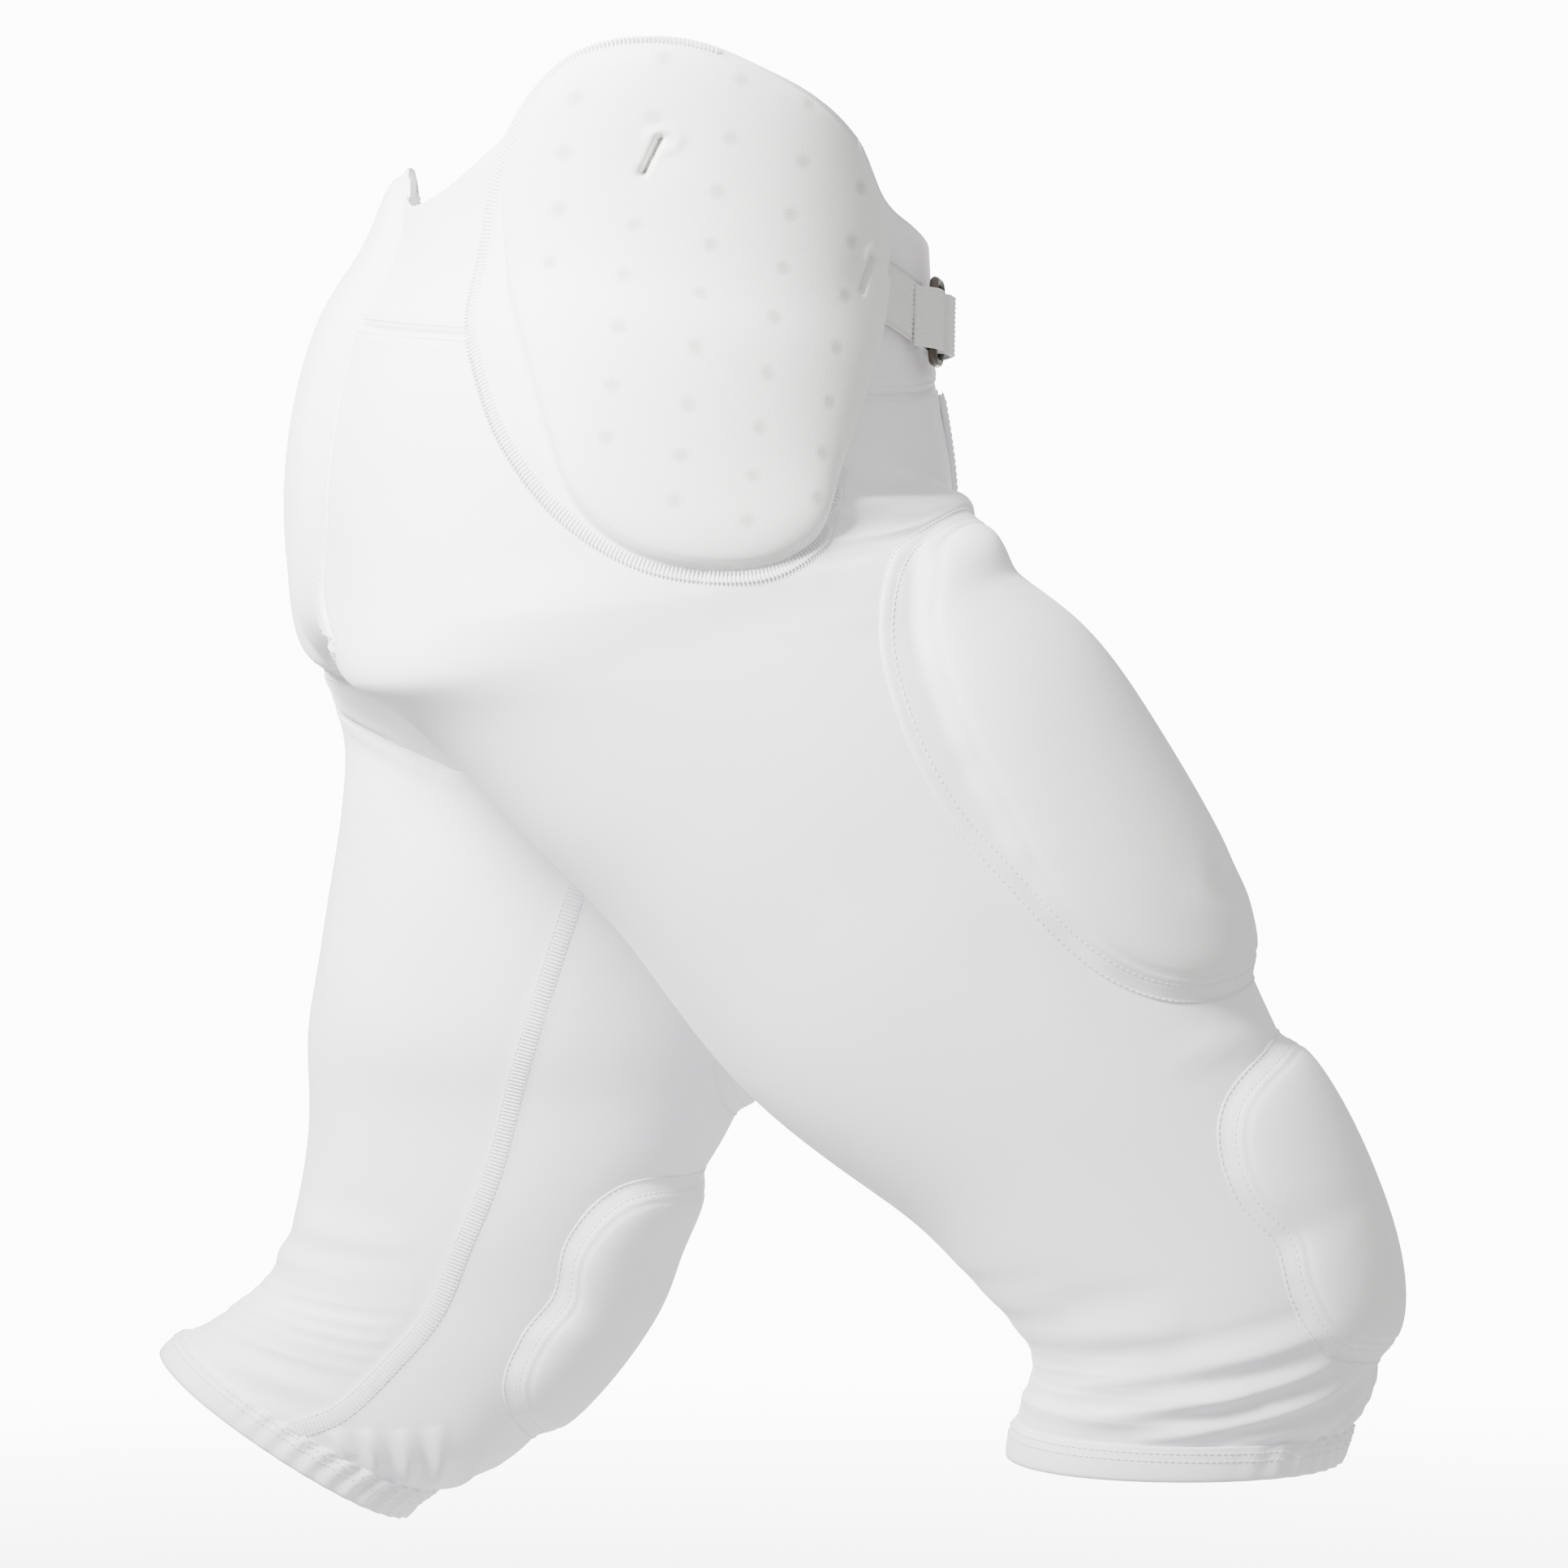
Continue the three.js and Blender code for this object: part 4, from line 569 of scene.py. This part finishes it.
# ---- Hem bands: turned and stitched, gathered round the front of each leg.
HEM_LINES = []
for side, word in ((RIGHT, "right"), (LEFT, "left")):
    column = np.linspace(0, ROUND, 720, endpoint=False)
    row = np.concatenate([[HEM_TOP - 0.05], np.linspace(HEM_TOP, HEM_END, 10)])
    C, R = np.meshgrid(column, row)
    point, normal = surface(side, C, R)
    start, end, waves = (-1.6, 3.6, 17) if side == RIGHT else (-3.2, 3.6, 21)
    share = ((C - start) % ROUND) / (end - start)
    gather = np.where(share < 1, np.sin(math.pi * np.clip(share, 0, 1)) ** 0.7, 0)
    depth = np.sin(2 * math.pi * waves * share + 1.5 * np.sin(9 * share)) * gather * (0.5 + 0.5 * (HEM_END - R))
    roll = 0.8 * np.sqrt(np.clip(1 - (2 * (R - HEM_TOP) - 1) ** 2, 0, 1))
    point = point + normal * (depth + roll + 0.4)[..., None]
    faces = grid_faces(len(row), len(column), wrap=True)
    HEM_LINES += [(point[k] + normal[k] * 1.4, normal[k]) for k in (2, 4)]
    if side:
        faces = faces[:, ::-1]
    mesh_object(f"turned_hem_{word}", *closed(point.reshape(-1, 3), normal.reshape(-1, 3), faces, -1.4, 1.2),
                KNIT, "knit", f"hem_band_{word}")


# ---- Pads and their covers
def walk(side, middle, turns, radii):
    """Places reached on the surface from a middle, straight ahead, at the radii (rings by rays)."""
    column, row = np.full(len(turns), float(middle[0])), np.full(len(turns), float(middle[1]))

    def slopes(column, row):
        return ((surface(side, column + 0.04, row)[0] - surface(side, column - 0.04, row)[0]) / 0.08,
                (surface(side, column, row + 0.04)[0] - surface(side, column, row - 0.04)[0]) / 0.08)

    _, normal = surface(side, column, row)
    down = slopes(column, row)[1]
    down /= np.linalg.norm(down, axis=1)[:, None]
    front = np.cross(down, normal) * (1 if side else -1)
    angle = np.radians(turns)[:, None]
    heading = down * np.cos(angle) + front * np.sin(angle)
    gone, out = np.zeros(len(turns)), []
    dot = lambda a, b: (a * b).sum(-1)
    for radius in radii:
        across, along = slopes(column, row)
        aa, ab, bb = dot(across, across), dot(across, along), dot(along, along)
        ha, hb = dot(heading, across), dot(heading, along)
        length = radius - gone
        column = column + length * (ha * bb - hb * ab) / (aa * bb - ab * ab)
        row = row + length * (hb * aa - ha * ab) / (aa * bb - ab * ab)
        _, normal = surface(side, column, row)
        heading = heading - dot(heading, normal)[:, None] * normal
        heading /= np.linalg.norm(heading, axis=1)[:, None]
        gone = radius
        out.append((column, row))
    return np.array([c for c, _ in out]), np.array([r for _, r in out])


hip_reach = curve([(0, 1), (15, 1.03), (30, 1.04), (42, 0.98), (58, 0.83), (80, 0.76), (100, 0.8), (120, 0.87),
                   (150, 0.88), (180, 0.87), (205, 0.96), (225, 1), (250, 0.9), (275, 0.74), (300, 0.68), (325, 0.76),
                   (345, 0.92)], 360)
hip_border = curve([(0, 0.024), (30, 0.024), (90, 0.02), (150, 0.01), (210, 0.01), (235, 0.02), (262, 0.06),
                    (285, 0.105), (308, 0.11), (328, 0.085), (345, 0.04)], 360)
knee_reach = curve([(0, 1), (25, 1.05), (48, 1.14), (68, 1.04), (88, 0.94), (108, 1.14), (130, 1.26), (155, 1.08),
                    (180, 1), (205, 1.08), (230, 1.26), (252, 1.14), (272, 0.94), (292, 1.04), (312, 1.14),
                    (335, 1.05)], 360)


thigh_border = curve([(0, 8), (90, 8), (165, 8), (190, 10), (215, 20), (235, 24), (262, 22), (290, 12), (320, 8)], 360)


def oval(narrow, power):
    return lambda turn: (np.abs(np.cos(np.radians(turn))) ** power
                         + np.abs(np.sin(np.radians(turn)) / narrow) ** power) ** (-1 / power)


PADS = {
    "hip": dict(middle=[(3.55, 1.5), (3.55, 1.5)], reach=hip_reach, length=214, thick=12.3, crown=9, slope=3.2,
                border=lambda turn: hip_border(turn) * 214, node="hip_cover", pad="hip_pad", material=COVER,
                rays=360, rings=96),
    "thigh": dict(middle=[(1.52, 8.8), (1.52, 8.1)], reach=oval(168 / 214, 2.7), length=214, thick=16.3, crown=3.2,
                  slope=9, border=thigh_border, node="thigh_pocket", pad="thigh_pad", material=POCKET,
                  rays=240, rings=70),
    "knee": dict(middle=[(1.18, 12.87), (1.18, 13.1)], reach=knee_reach, length=126, thick=14.3, crown=2.6, slope=9,
                 border=lambda turn: 8 + 0 * turn, node="knee_pocket", pad="knee_pad", material=POCKET,
                 rays=200, rings=60),
    "tail": dict(middle=[(BACK, 2.85)], reach=oval(124 / 214, 2.6), length=214, thick=13.3, crown=3.2, slope=5,
                 border=lambda turn: 3 + 0 * turn, node="tail_cover", pad="tail_pad", material=COVER,
                 rays=240, rings=60),
}
RIM = 6.4  # height of a cover over the pad's rim
SLOPE = 3.2
FLUSH = 1.5  # height of a cover's stitched border

# Rows of embossed dots on the hip pads: millimetres down from the pad's middle, first dot towards the front, count.
DOT_ROWS = [(-90, -42, 3), (-66, -68, 6), (-44, -66, 6), (-22, -62, 5), (1, -60, 6), (24, -28, 4), (47, -25, 4),
            (68, -22, 4), (87, 10, 2)]
DOT_PITCH = 29
SLOT_LENGTH = 15
HIP_SEAM = (194, 230)  # first ray and number of rays with the covered seam round the back and the foot
DOTS = np.array([(down, first + DOT_PITCH * k) for down, first, count in DOT_ROWS for k in range(count)])
SLOTS = np.array([(-51, -35), (-36, 63)])


def cover_height(kind, spec, share, past, down, ahead, turn, edge):
    """Height of a cover over the fabric's middle surface; past is the distance beyond the pad's rim."""
    dome = RIM + (spec["thick"] - RIM) * np.clip(1 - share ** spec["crown"], 0, 1) ** 0.6
    s = np.clip(past / spec["slope"], 0, 1)
    height = np.where(past > 0, RIM + (FLUSH - RIM) * (3 * s ** 2 - 2 * s ** 3), dome)
    if kind == "hip":
        for d, f in DOTS:
            height = height - 0.12 * np.exp(-(np.hypot(down - d, ahead - f) / 2.9) ** 4)
        for d, f in SLOTS:
            x, y = ahead - f + 0.12 * (down - d), down - d
            end = np.maximum(np.abs(y) - SLOT_LENGTH / 2, 0)
            height = height - 1.1 * np.exp(-((x / 11) ** 2) - (y / 13) ** 2)
            height = height + 0.9 * np.exp(-((np.hypot(x - 1.5, y + 7) - 5) / 2.2) ** 2 - ((y + 9) / 7) ** 2)
            height = height - 5.5 * np.exp(-((x / 1.1) ** 2) - (end / 1.0) ** 2)
    if kind == "thigh":
        dimple = np.sin(ahead / 5.2 + 1.2 * np.sin(down / 9)) * np.exp(-(((down - 78) / 13) ** 2)) * (share < 1)
        height = height + 0.9 * dimple * np.exp(-((ahead - 5) / 40) ** 2)
    if kind in ("thigh", "knee"):
        for distance in (1.5, 7.5):
            height = height - 0.45 * np.exp(-(((edge - distance) / 0.9) ** 2))
        height = height + 0.25 * np.sin(turn / 2.6) * np.exp(-(((past - 6) / 5) ** 2))
    return height


STITCH_LINES, COVER_SEAMS, OUTER_RINGS = [], [], 12
for kind, spec in PADS.items():
    for side, middle in enumerate(spec["middle"]):
        word = ("_right", "_left")[side] if kind != "tail" else ""
        turns = np.arange(spec["rays"]) * 360 / spec["rays"]
        reach = spec["reach"](turns) * spec["length"] / 2
        border = SLOPE + spec["border"](turns)
        shares = np.linspace(0, 1, spec["rings"] + 1)[1:]
        outer = np.linspace(0, 1, OUTER_RINGS + 1)[1:]
        radii = np.concatenate([shares[:, None] * reach, reach + outer[:, None] * border])
        columns, rows = walk(side, middle, turns, radii)
        share = np.minimum(radii / reach, 1)
        beyond = radii - reach
        angle = np.radians(turns)
        down, ahead = radii * np.cos(angle), radii * np.sin(angle)
        base, normal = surface(side, columns, rows)
        soft = fold_lift(np.full(base.shape[:-1], side), base) + ripple(base)
        keep = np.clip(beyond / 6, 0, 1)
        height = cover_height(kind, spec, share, beyond, down, ahead, turns[None, :], border - beyond) + soft * keep
        height[-1] -= 2.6
        centre, up = surface(side, np.array([middle[0]]), np.array([middle[1]]))
        point = np.concatenate([centre + up * spec["thick"], (base + normal * height[..., None]).reshape(-1, 3)])
        rays = spec["rays"]
        faces = (grid_faces(len(radii), rays, wrap=True) + 1).tolist()
        faces += [[0, 1 + (i + 1) % rays, 1 + i] for i in range(rays)]
        a, b, c = (point[faces[rays][k]] for k in (0, 1, 2))
        if np.cross(b - a, c - a) @ normal.reshape(-1, 3)[faces[rays][0] - 1] < 0:
            faces = [f[::-1] for f in faces]
        name = f"{kind}_pad_cover{word}"
        piece = mesh_object(name, point, faces, spec["material"], "cover", spec["node"] + word, spec["pad"] + word)
        if kind == "hip":
            # Mask of the embossed dots, used for the painted shade in the hip cover's colour.
            dot_shade_mask = sum(np.exp(-(np.hypot(down - d, ahead - f) / 3.1) ** 4) for d, f in DOTS)
            shade = piece.data.attributes.new("dot_shade_mask", "FLOAT", "POINT")
            shade.data.foreach_set("value", np.concatenate([[0], dot_shade_mask.ravel()]).astype(np.float32))
        skin = base + normal * (height + 0.1)[..., None]

        def inset(grid, distance):
            """The row of points or normals at a distance inside the cover's edge."""
            at = len(shares) - 1 + OUTER_RINGS * (1 - distance / border)
            lower = np.floor(at).astype(int)
            t = (at - lower)[:, None]
            every = np.arange(rays)
            return grid[lower, every] * (1 - t) + grid[lower + 1, every] * t

        if kind == "hip":
            row = [np.roll(inset(grid, 3.0), -HIP_SEAM[0], 0)[:HIP_SEAM[1]] for grid in (skin, normal)]
            COVER_SEAMS.append(row)
        else:
            for distance in ((1.5, 7.5) if kind != "tail" else (1.5,)):
                STITCH_LINES.append([inset(grid, distance) for grid in (skin, normal)])

# ---- Stitches, one thread at each point of the seams, set out by Geometry Nodes.
def stitch_mesh():
    """A short thread, along X, with its back to -Z."""
    mesh = bpy.data.meshes.new("thread")
    rings = [(-1.0, 0.14), (-0.6, 0.36), (0.6, 0.36), (1.0, 0.14)]
    around = 5
    points = [(x, r * math.cos(a), r * 0.8 * math.sin(a)) for x, r in rings
              for a in (2 * math.pi * k / around for k in range(around))]
    faces = [[i * around + k, i * around + (k + 1) % around, (i + 1) * around + (k + 1) % around,
              (i + 1) * around + k] for i in range(len(rings) - 1) for k in range(around)]
    faces += [list(range(around))[::-1], list(range(len(points) - around, len(points)))]
    mesh.from_pydata([tuple(v * MM for v in p) for p in points], [], faces)
    return mesh


def stitch_tree():
    """Instances of the thread on points, turned by their attributes, made real and given the material."""
    tree = bpy.data.node_groups.new("stitches", "GeometryNodeTree")
    for name, kind, way in (("Points", "NodeSocketGeometry", "INPUT"), ("Thread", "NodeSocketObject", "INPUT"),
                            ("Material", "NodeSocketMaterial", "INPUT"), ("Stitches", "NodeSocketGeometry", "OUTPUT")):
        tree.interface.new_socket(name, in_out=way, socket_type=kind)
    start, end = add(tree, "NodeGroupInput"), add(tree, "NodeGroupOutput")
    turn = add(tree, "GeometryNodeInputNamedAttribute", {"Name": "turn"}, data_type="FLOAT_VECTOR")
    rotation = add(tree, "FunctionNodeEulerToRotation", {0: turn.outputs[0]})
    thread = add(tree, "GeometryNodeObjectInfo", {"Object": start.outputs["Thread"]})
    size = add(tree, "GeometryNodeInputNamedAttribute", {"Name": "size"}, data_type="FLOAT_VECTOR")
    placed = add(tree, "GeometryNodeInstanceOnPoints", {
        "Points": start.outputs["Points"], "Instance": thread.outputs["Geometry"], "Rotation": rotation.outputs[0],
        "Scale": size.outputs[0]})
    real = add(tree, "GeometryNodeRealizeInstances", {0: placed.outputs[0]})
    coloured = add(tree, "GeometryNodeSetMaterial", {0: real.outputs[0], "Material": start.outputs["Material"]})
    tree.links.new(coloured.outputs[0], end.inputs[0])
    return tree


TREE = stitch_tree()
thread_object = bpy.data.objects.new("thread_pattern", stitch_mesh())


def stitches(name, rows, length=2.0, thick=1.0, across=False):
    """Threads on rows of (points, normals), each lying on the cloth along its row or across it."""
    spots, turns = [], []
    for point, normal in rows:
        along = np.gradient(point, axis=0)
        along -= (along * normal).sum(1)[:, None] * normal
        along /= np.linalg.norm(along, axis=1)[:, None]
        side = np.cross(normal, along)
        for p, x, y, z in zip(point, along, side, normal):
            spots.append(p * MM)
            matrix = np.stack([y, -x, z] if across else [x, y, z], 1)
            turns.append((math.atan2(matrix[2, 1], matrix[2, 2]),
                          -math.asin(float(np.clip(matrix[2, 0], -1, 1))),
                          math.atan2(matrix[1, 0], matrix[0, 0])))
    mesh = bpy.data.meshes.new(name)
    mesh.from_pydata([tuple(p) for p in spots], [], [])
    mesh.attributes.new("turn", "FLOAT_VECTOR", "POINT").data.foreach_set("vector", np.ravel(turns))
    scale = np.tile([length / 2, thick, thick], len(spots))
    mesh.attributes.new("size", "FLOAT_VECTOR", "POINT").data.foreach_set("vector", scale)
    source = bpy.data.objects.new(name + "_points", mesh)
    bpy.context.scene.collection.objects.link(source)
    modifier = source.modifiers.new("stitches", "NODES")
    modifier.node_group = TREE
    sockets = {i.name: i.identifier for i in TREE.interface.items_tree if i.in_out == "INPUT"}
    modifier[sockets["Thread"]] = thread_object
    modifier[sockets["Material"]] = THREAD
    bpy.context.view_layer.update()
    made = bpy.data.meshes.new_from_object(source.evaluated_get(bpy.context.evaluated_depsgraph_get()))
    bpy.data.objects.remove(source)
    piece = bpy.data.objects.new(name, made)
    bpy.context.scene.collection.objects.link(piece)
    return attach(piece, "root")


def beside(row, distance, out):
    """A row of stitches moved sideways and out from a seam, in millimetres."""
    point, normal = row
    across = np.cross(np.gradient(point, axis=0), normal)
    across /= np.linalg.norm(across, axis=1)[:, None]
    lift = groove(point + across * distance)
    return point + across * distance + normal * (out + lift)[:, None], normal


def even(row, pitch=3.0, ring=True):
    """A row of points at even spacing, closed on itself or not."""
    point, normal = (np.concatenate([a, a[:1]]) if ring else a for a in row)
    length = np.concatenate([[0], np.cumsum(np.linalg.norm(np.diff(point, axis=0), axis=1))])
    at = np.arange(0, length[-1], pitch)
    take = lambda a: np.stack([np.interp(at, length, a[:, k]) for k in range(3)], 1)
    n = take(normal)
    return take(point), n / np.linalg.norm(n, axis=1)[:, None]


sewn = [row for name, row in SEAMS.items() if not name.startswith("inseam")]
flat = [row for name, row in SEAMS.items() if name.startswith("inseam")]
stitches("seam_stitches", [beside(row, d, FABRIC / 2 + 0.1) for row in sewn for d in (-3, 3)])
stitches("pocket_stitches", [even(row) for row in STITCH_LINES])
stitches("seam_cover_threads", [even(beside(row, 0, FABRIC / 2), 1.5, False) for row in sewn], 5.4, 0.7, True)
stitches("inseam_threads", [even(beside(row, 0, FABRIC / 2), 1.7, False) for row in flat],
         INSEAM_WIDTH - 0.8, 1.3, True)
stitches("inseam_edges", [beside(row, d, FABRIC / 2) for row in flat for d in (-3.7, 3.7)])
stitches("hip_cover_threads", [even(row, 1.7, False) for row in COVER_SEAMS], 6.4, 1.3, True)
stitches("hem_stitches", [even(row, 2.8) for row in HEM_LINES])

# ---- Belt: woven webbing folded round both sides of a steel ring and back on itself.
RING_COLUMN, RING_HEIGHT, RING_WIRE, RING_DEPTH, RING_HALF = 0.75, 7.4, 4, 18, 17
WEBBING_WIDTH, WEBBING_WALL, THREAD_PITCH = 25.4, 1.6, 2.0
belt_row = curve([(0, 1.75), (0.75, 1.62), (1.7, 1.3), (2.4, 1.12)])
ring_point, ring_normal = (a[0] for a in surface(RIGHT, [RING_COLUMN], belt_row([RING_COLUMN])))
ring_along = surface(RIGHT, [RING_COLUMN - 0.2], belt_row([RING_COLUMN - 0.2]))[0][0] - ring_point
ring_along -= (ring_along @ ring_normal) * ring_normal
ring_along /= np.linalg.norm(ring_along)
ring_across = np.cross(ring_along, ring_normal)


def on_ring(along, out):
    return ring_point + np.outer(along, ring_along) + np.outer(out, ring_normal)


def belt_end(name, way, far_column, back, radius, turn_at, node):
    """A belt end: flat on the cloth to the ring, round it and back on itself, with its coarse weave."""
    column = np.linspace(far_column, RING_COLUMN + way * 0.28, 60)
    point, normal = surface(RIGHT, column, belt_row(np.abs(column)))
    lower = point + normal * (RING_HEIGHT - radius)
    angle = np.linspace(0, math.pi, 24)
    turn = on_ring(turn_at + way * radius * np.sin(angle), RING_HEIGHT - radius * np.cos(angle))
    radial = np.outer(-np.cos(angle), ring_normal) + np.outer(way * np.sin(angle), ring_along)
    share = np.linspace(0.06, 1, 30)
    lift = curve([(0, 1), (0.3, 0.95), (0.6, 0.45), (0.8, 0.1), (1, 0)])(share)
    flat = turn_at - way * back * share
    sewn = RING_HEIGHT - radius + WEBBING_WALL + 0.3 - flat ** 2 / 380
    upper = on_ring(flat, sewn + (RING_HEIGHT + radius - sewn) * lift)
    route = np.concatenate([lower, turn, upper])
    out = np.concatenate([-normal, radial, np.tile(ring_normal, (len(share), 1))])
    length = np.concatenate([[0], np.cumsum(np.linalg.norm(np.diff(route, axis=0), axis=1))])
    at = np.arange(0, length[-1], THREAD_PITCH / 3)
    take = lambda a: np.stack([np.interp(at, length, a[:, k]) for k in range(3)], 1)
    route, out = take(route), take(out)
    out /= np.linalg.norm(out, axis=1)[:, None]
    across = np.cross(np.gradient(route, axis=0), out)
    across /= np.linalg.norm(across, axis=1)[:, None]
    width = np.linspace(-1, 1, 49) * WEBBING_WIDTH / 2
    point = route[:, None] + across[:, None] * width[:, None]
    normal = np.repeat(out[:, None], len(width), 1)
    u, v = np.meshgrid(width / THREAD_PITCH * math.pi, at / THREAD_PITCH * math.pi)
    weave = 0.5 * np.sin(u + v) * np.sin(v - u) - 0.5 * (np.abs(u) > np.abs(u).max() - 0.7)
    return mesh_object(name, *closed(
        (point + normal * weave[..., None]).reshape(-1, 3), normal.reshape(-1, 3),
        grid_faces(len(at), len(width)), -WEBBING_WALL / 2, WEBBING_WALL / 2), WEBBING, "webbing", node)


belt_end("belt_end_right", 1, RING_COLUMN + 1.3, 20, 3.6, -RING_DEPTH / 2, "belt_webbing_right")
belt_end("belt_end_left", -1, -2.1, 34, 4.0, RING_DEPTH / 2 - 0.5, "belt_webbing_left")

turn = np.linspace(0, 2 * math.pi, 120, endpoint=False)
power = lambda value, p: np.sign(value) * np.abs(value) ** p
along = RING_DEPTH / 2 * np.where(np.cos(turn) > 0, power(np.cos(turn), 0.5), power(np.cos(turn), 0.25))
path = on_ring(along, RING_HEIGHT) + np.outer(RING_HALF * power(np.sin(turn), 0.5), ring_across)
tangent = np.roll(path, -1, 0) - np.roll(path, 1, 0)
side_way = np.cross(tangent / np.linalg.norm(tangent, axis=1)[:, None], ring_normal)
angle = np.linspace(0, 2 * math.pi, 16, endpoint=False)
tube = path[:, None] + RING_WIRE / 2 * (
    np.cos(angle)[:, None] * side_way[:, None] + np.sin(angle)[:, None] * ring_normal)
count = len(angle)
faces = [[i * count + k, i * count + (k + 1) % count, (i + 1) % len(path) * count + (k + 1) % count,
          (i + 1) % len(path) * count + k] for i in range(len(path)) for k in range(count)]
mesh_object("steel_ring", tube.reshape(-1, 3), faces, METAL, "ring", "belt_ring")

# ---- Fly: a placket stitched flat over the front opening.
FLY_HALF, FLY_TOP, FLY_ROWS = 13 / 62, 2.5, 62 / 45
C, R = np.meshgrid(np.linspace(-FLY_HALF, FLY_HALF, 31), np.linspace(FLY_TOP, FLY_TOP + FLY_ROWS, 61))
point, normal = surface(RIGHT, C, R)
edge = np.minimum(1 - np.abs(C) / FLY_HALF, np.minimum(R - FLY_TOP, FLY_TOP + FLY_ROWS - R) * 3)
point = point + normal * (0.5 * np.clip(edge * 5, 0, 1) ** 0.5)[..., None]
fly = closed(point.reshape(-1, 3), normal.reshape(-1, 3), grid_faces(*C.shape), 0.9, 3.0)
mesh_object("fly_cloth", *fly, KNIT, "knit", "fly_placket")
stitches("fly_stitches", [even((point[:, k] + normal[:, k] * 3.1, normal[:, k]), 2.8, False) for k in (3, 7, 23, 27)])

# ---- Floor and light: a pale floor that fades out, and a lit white wall far behind the garment.
floor = bpy.data.objects.new("floor", bpy.data.meshes.new("floor"))
floor.data.from_pydata([(-3, -3, -0.9), (3, -3, -0.9), (3, 3, -0.9), (-3, 3, -0.9)], [], [[0, 1, 2, 3]])
material = stuff("plain_floor", "#efefef", 0.9, 40, 0)
tree = material.node_tree
place = add(tree, "ShaderNodeTexCoord").outputs["Object"]
away = add(tree, "ShaderNodeVectorMath", {0: place}, operation="LENGTH")
fade = add(tree, "ShaderNodeMapRange", {0: away.outputs["Value"], 1: 1.2, 2: 2.4, 3: 1.0, 4: 0.0})
tree.links.new(fade.outputs[0], tree.nodes["Principled BSDF"].inputs["Alpha"])
floor.data.materials.append(material)
wall = bpy.data.objects.new("lit_wall", bpy.data.meshes.new("lit_wall"))
wall.data.from_pydata([(-1.3, 5, -2), (1.4, 5, -2), (1.4, 5, 0.7), (-1.3, 5, 0.7)], [], [[0, 1, 2, 3]])
material = bpy.data.materials.new("lit_white")
material.use_nodes = True
shader = material.node_tree.nodes["Principled BSDF"]
shader.inputs["Emission Color"].default_value = (1, 1, 1, 1)
shader.inputs["Emission Strength"].default_value = 12
wall.data.materials.append(material)
for stage in (floor, wall):
    bpy.context.scene.collection.objects.link(stage)

world = bpy.data.worlds.new("studio")
world.use_nodes = True
world.node_tree.nodes["Background"].inputs[0].default_value = (1, 1, 1, 1)
tree = world.node_tree
way = add(tree, "ShaderNodeSeparateXYZ", {0: add(tree, "ShaderNodeTexCoord").outputs["Generated"]})
above = add(tree, "ShaderNodeMapRange", {0: way.outputs["Z"], 1: -0.6, 2: 0.7, 3: 0.42, 4: 1.1})
tree.links.new(above.outputs[0], tree.nodes["Background"].inputs[1])
bpy.context.scene.world = world
for name, place, size, power in (
    ("key_light", (-0.8, -0.9, 0.75), 0.5, 14),
    ("rim_light", (-1.2, 1.0, 0.9), 0.8, 3),
):
    lamp = bpy.data.objects.new(name, bpy.data.lights.new(name, "AREA"))
    lamp.data.size, lamp.data.energy, lamp.data.spread = size, power, math.radians(48)
    lamp.location = place
    lamp.rotation_mode = "QUATERNION"
    lamp.rotation_quaternion = (Vector((-0.06, 0, -0.08)) - Vector(place)).to_track_quat("-Z", "Y")
    bpy.context.scene.collection.objects.link(lamp)
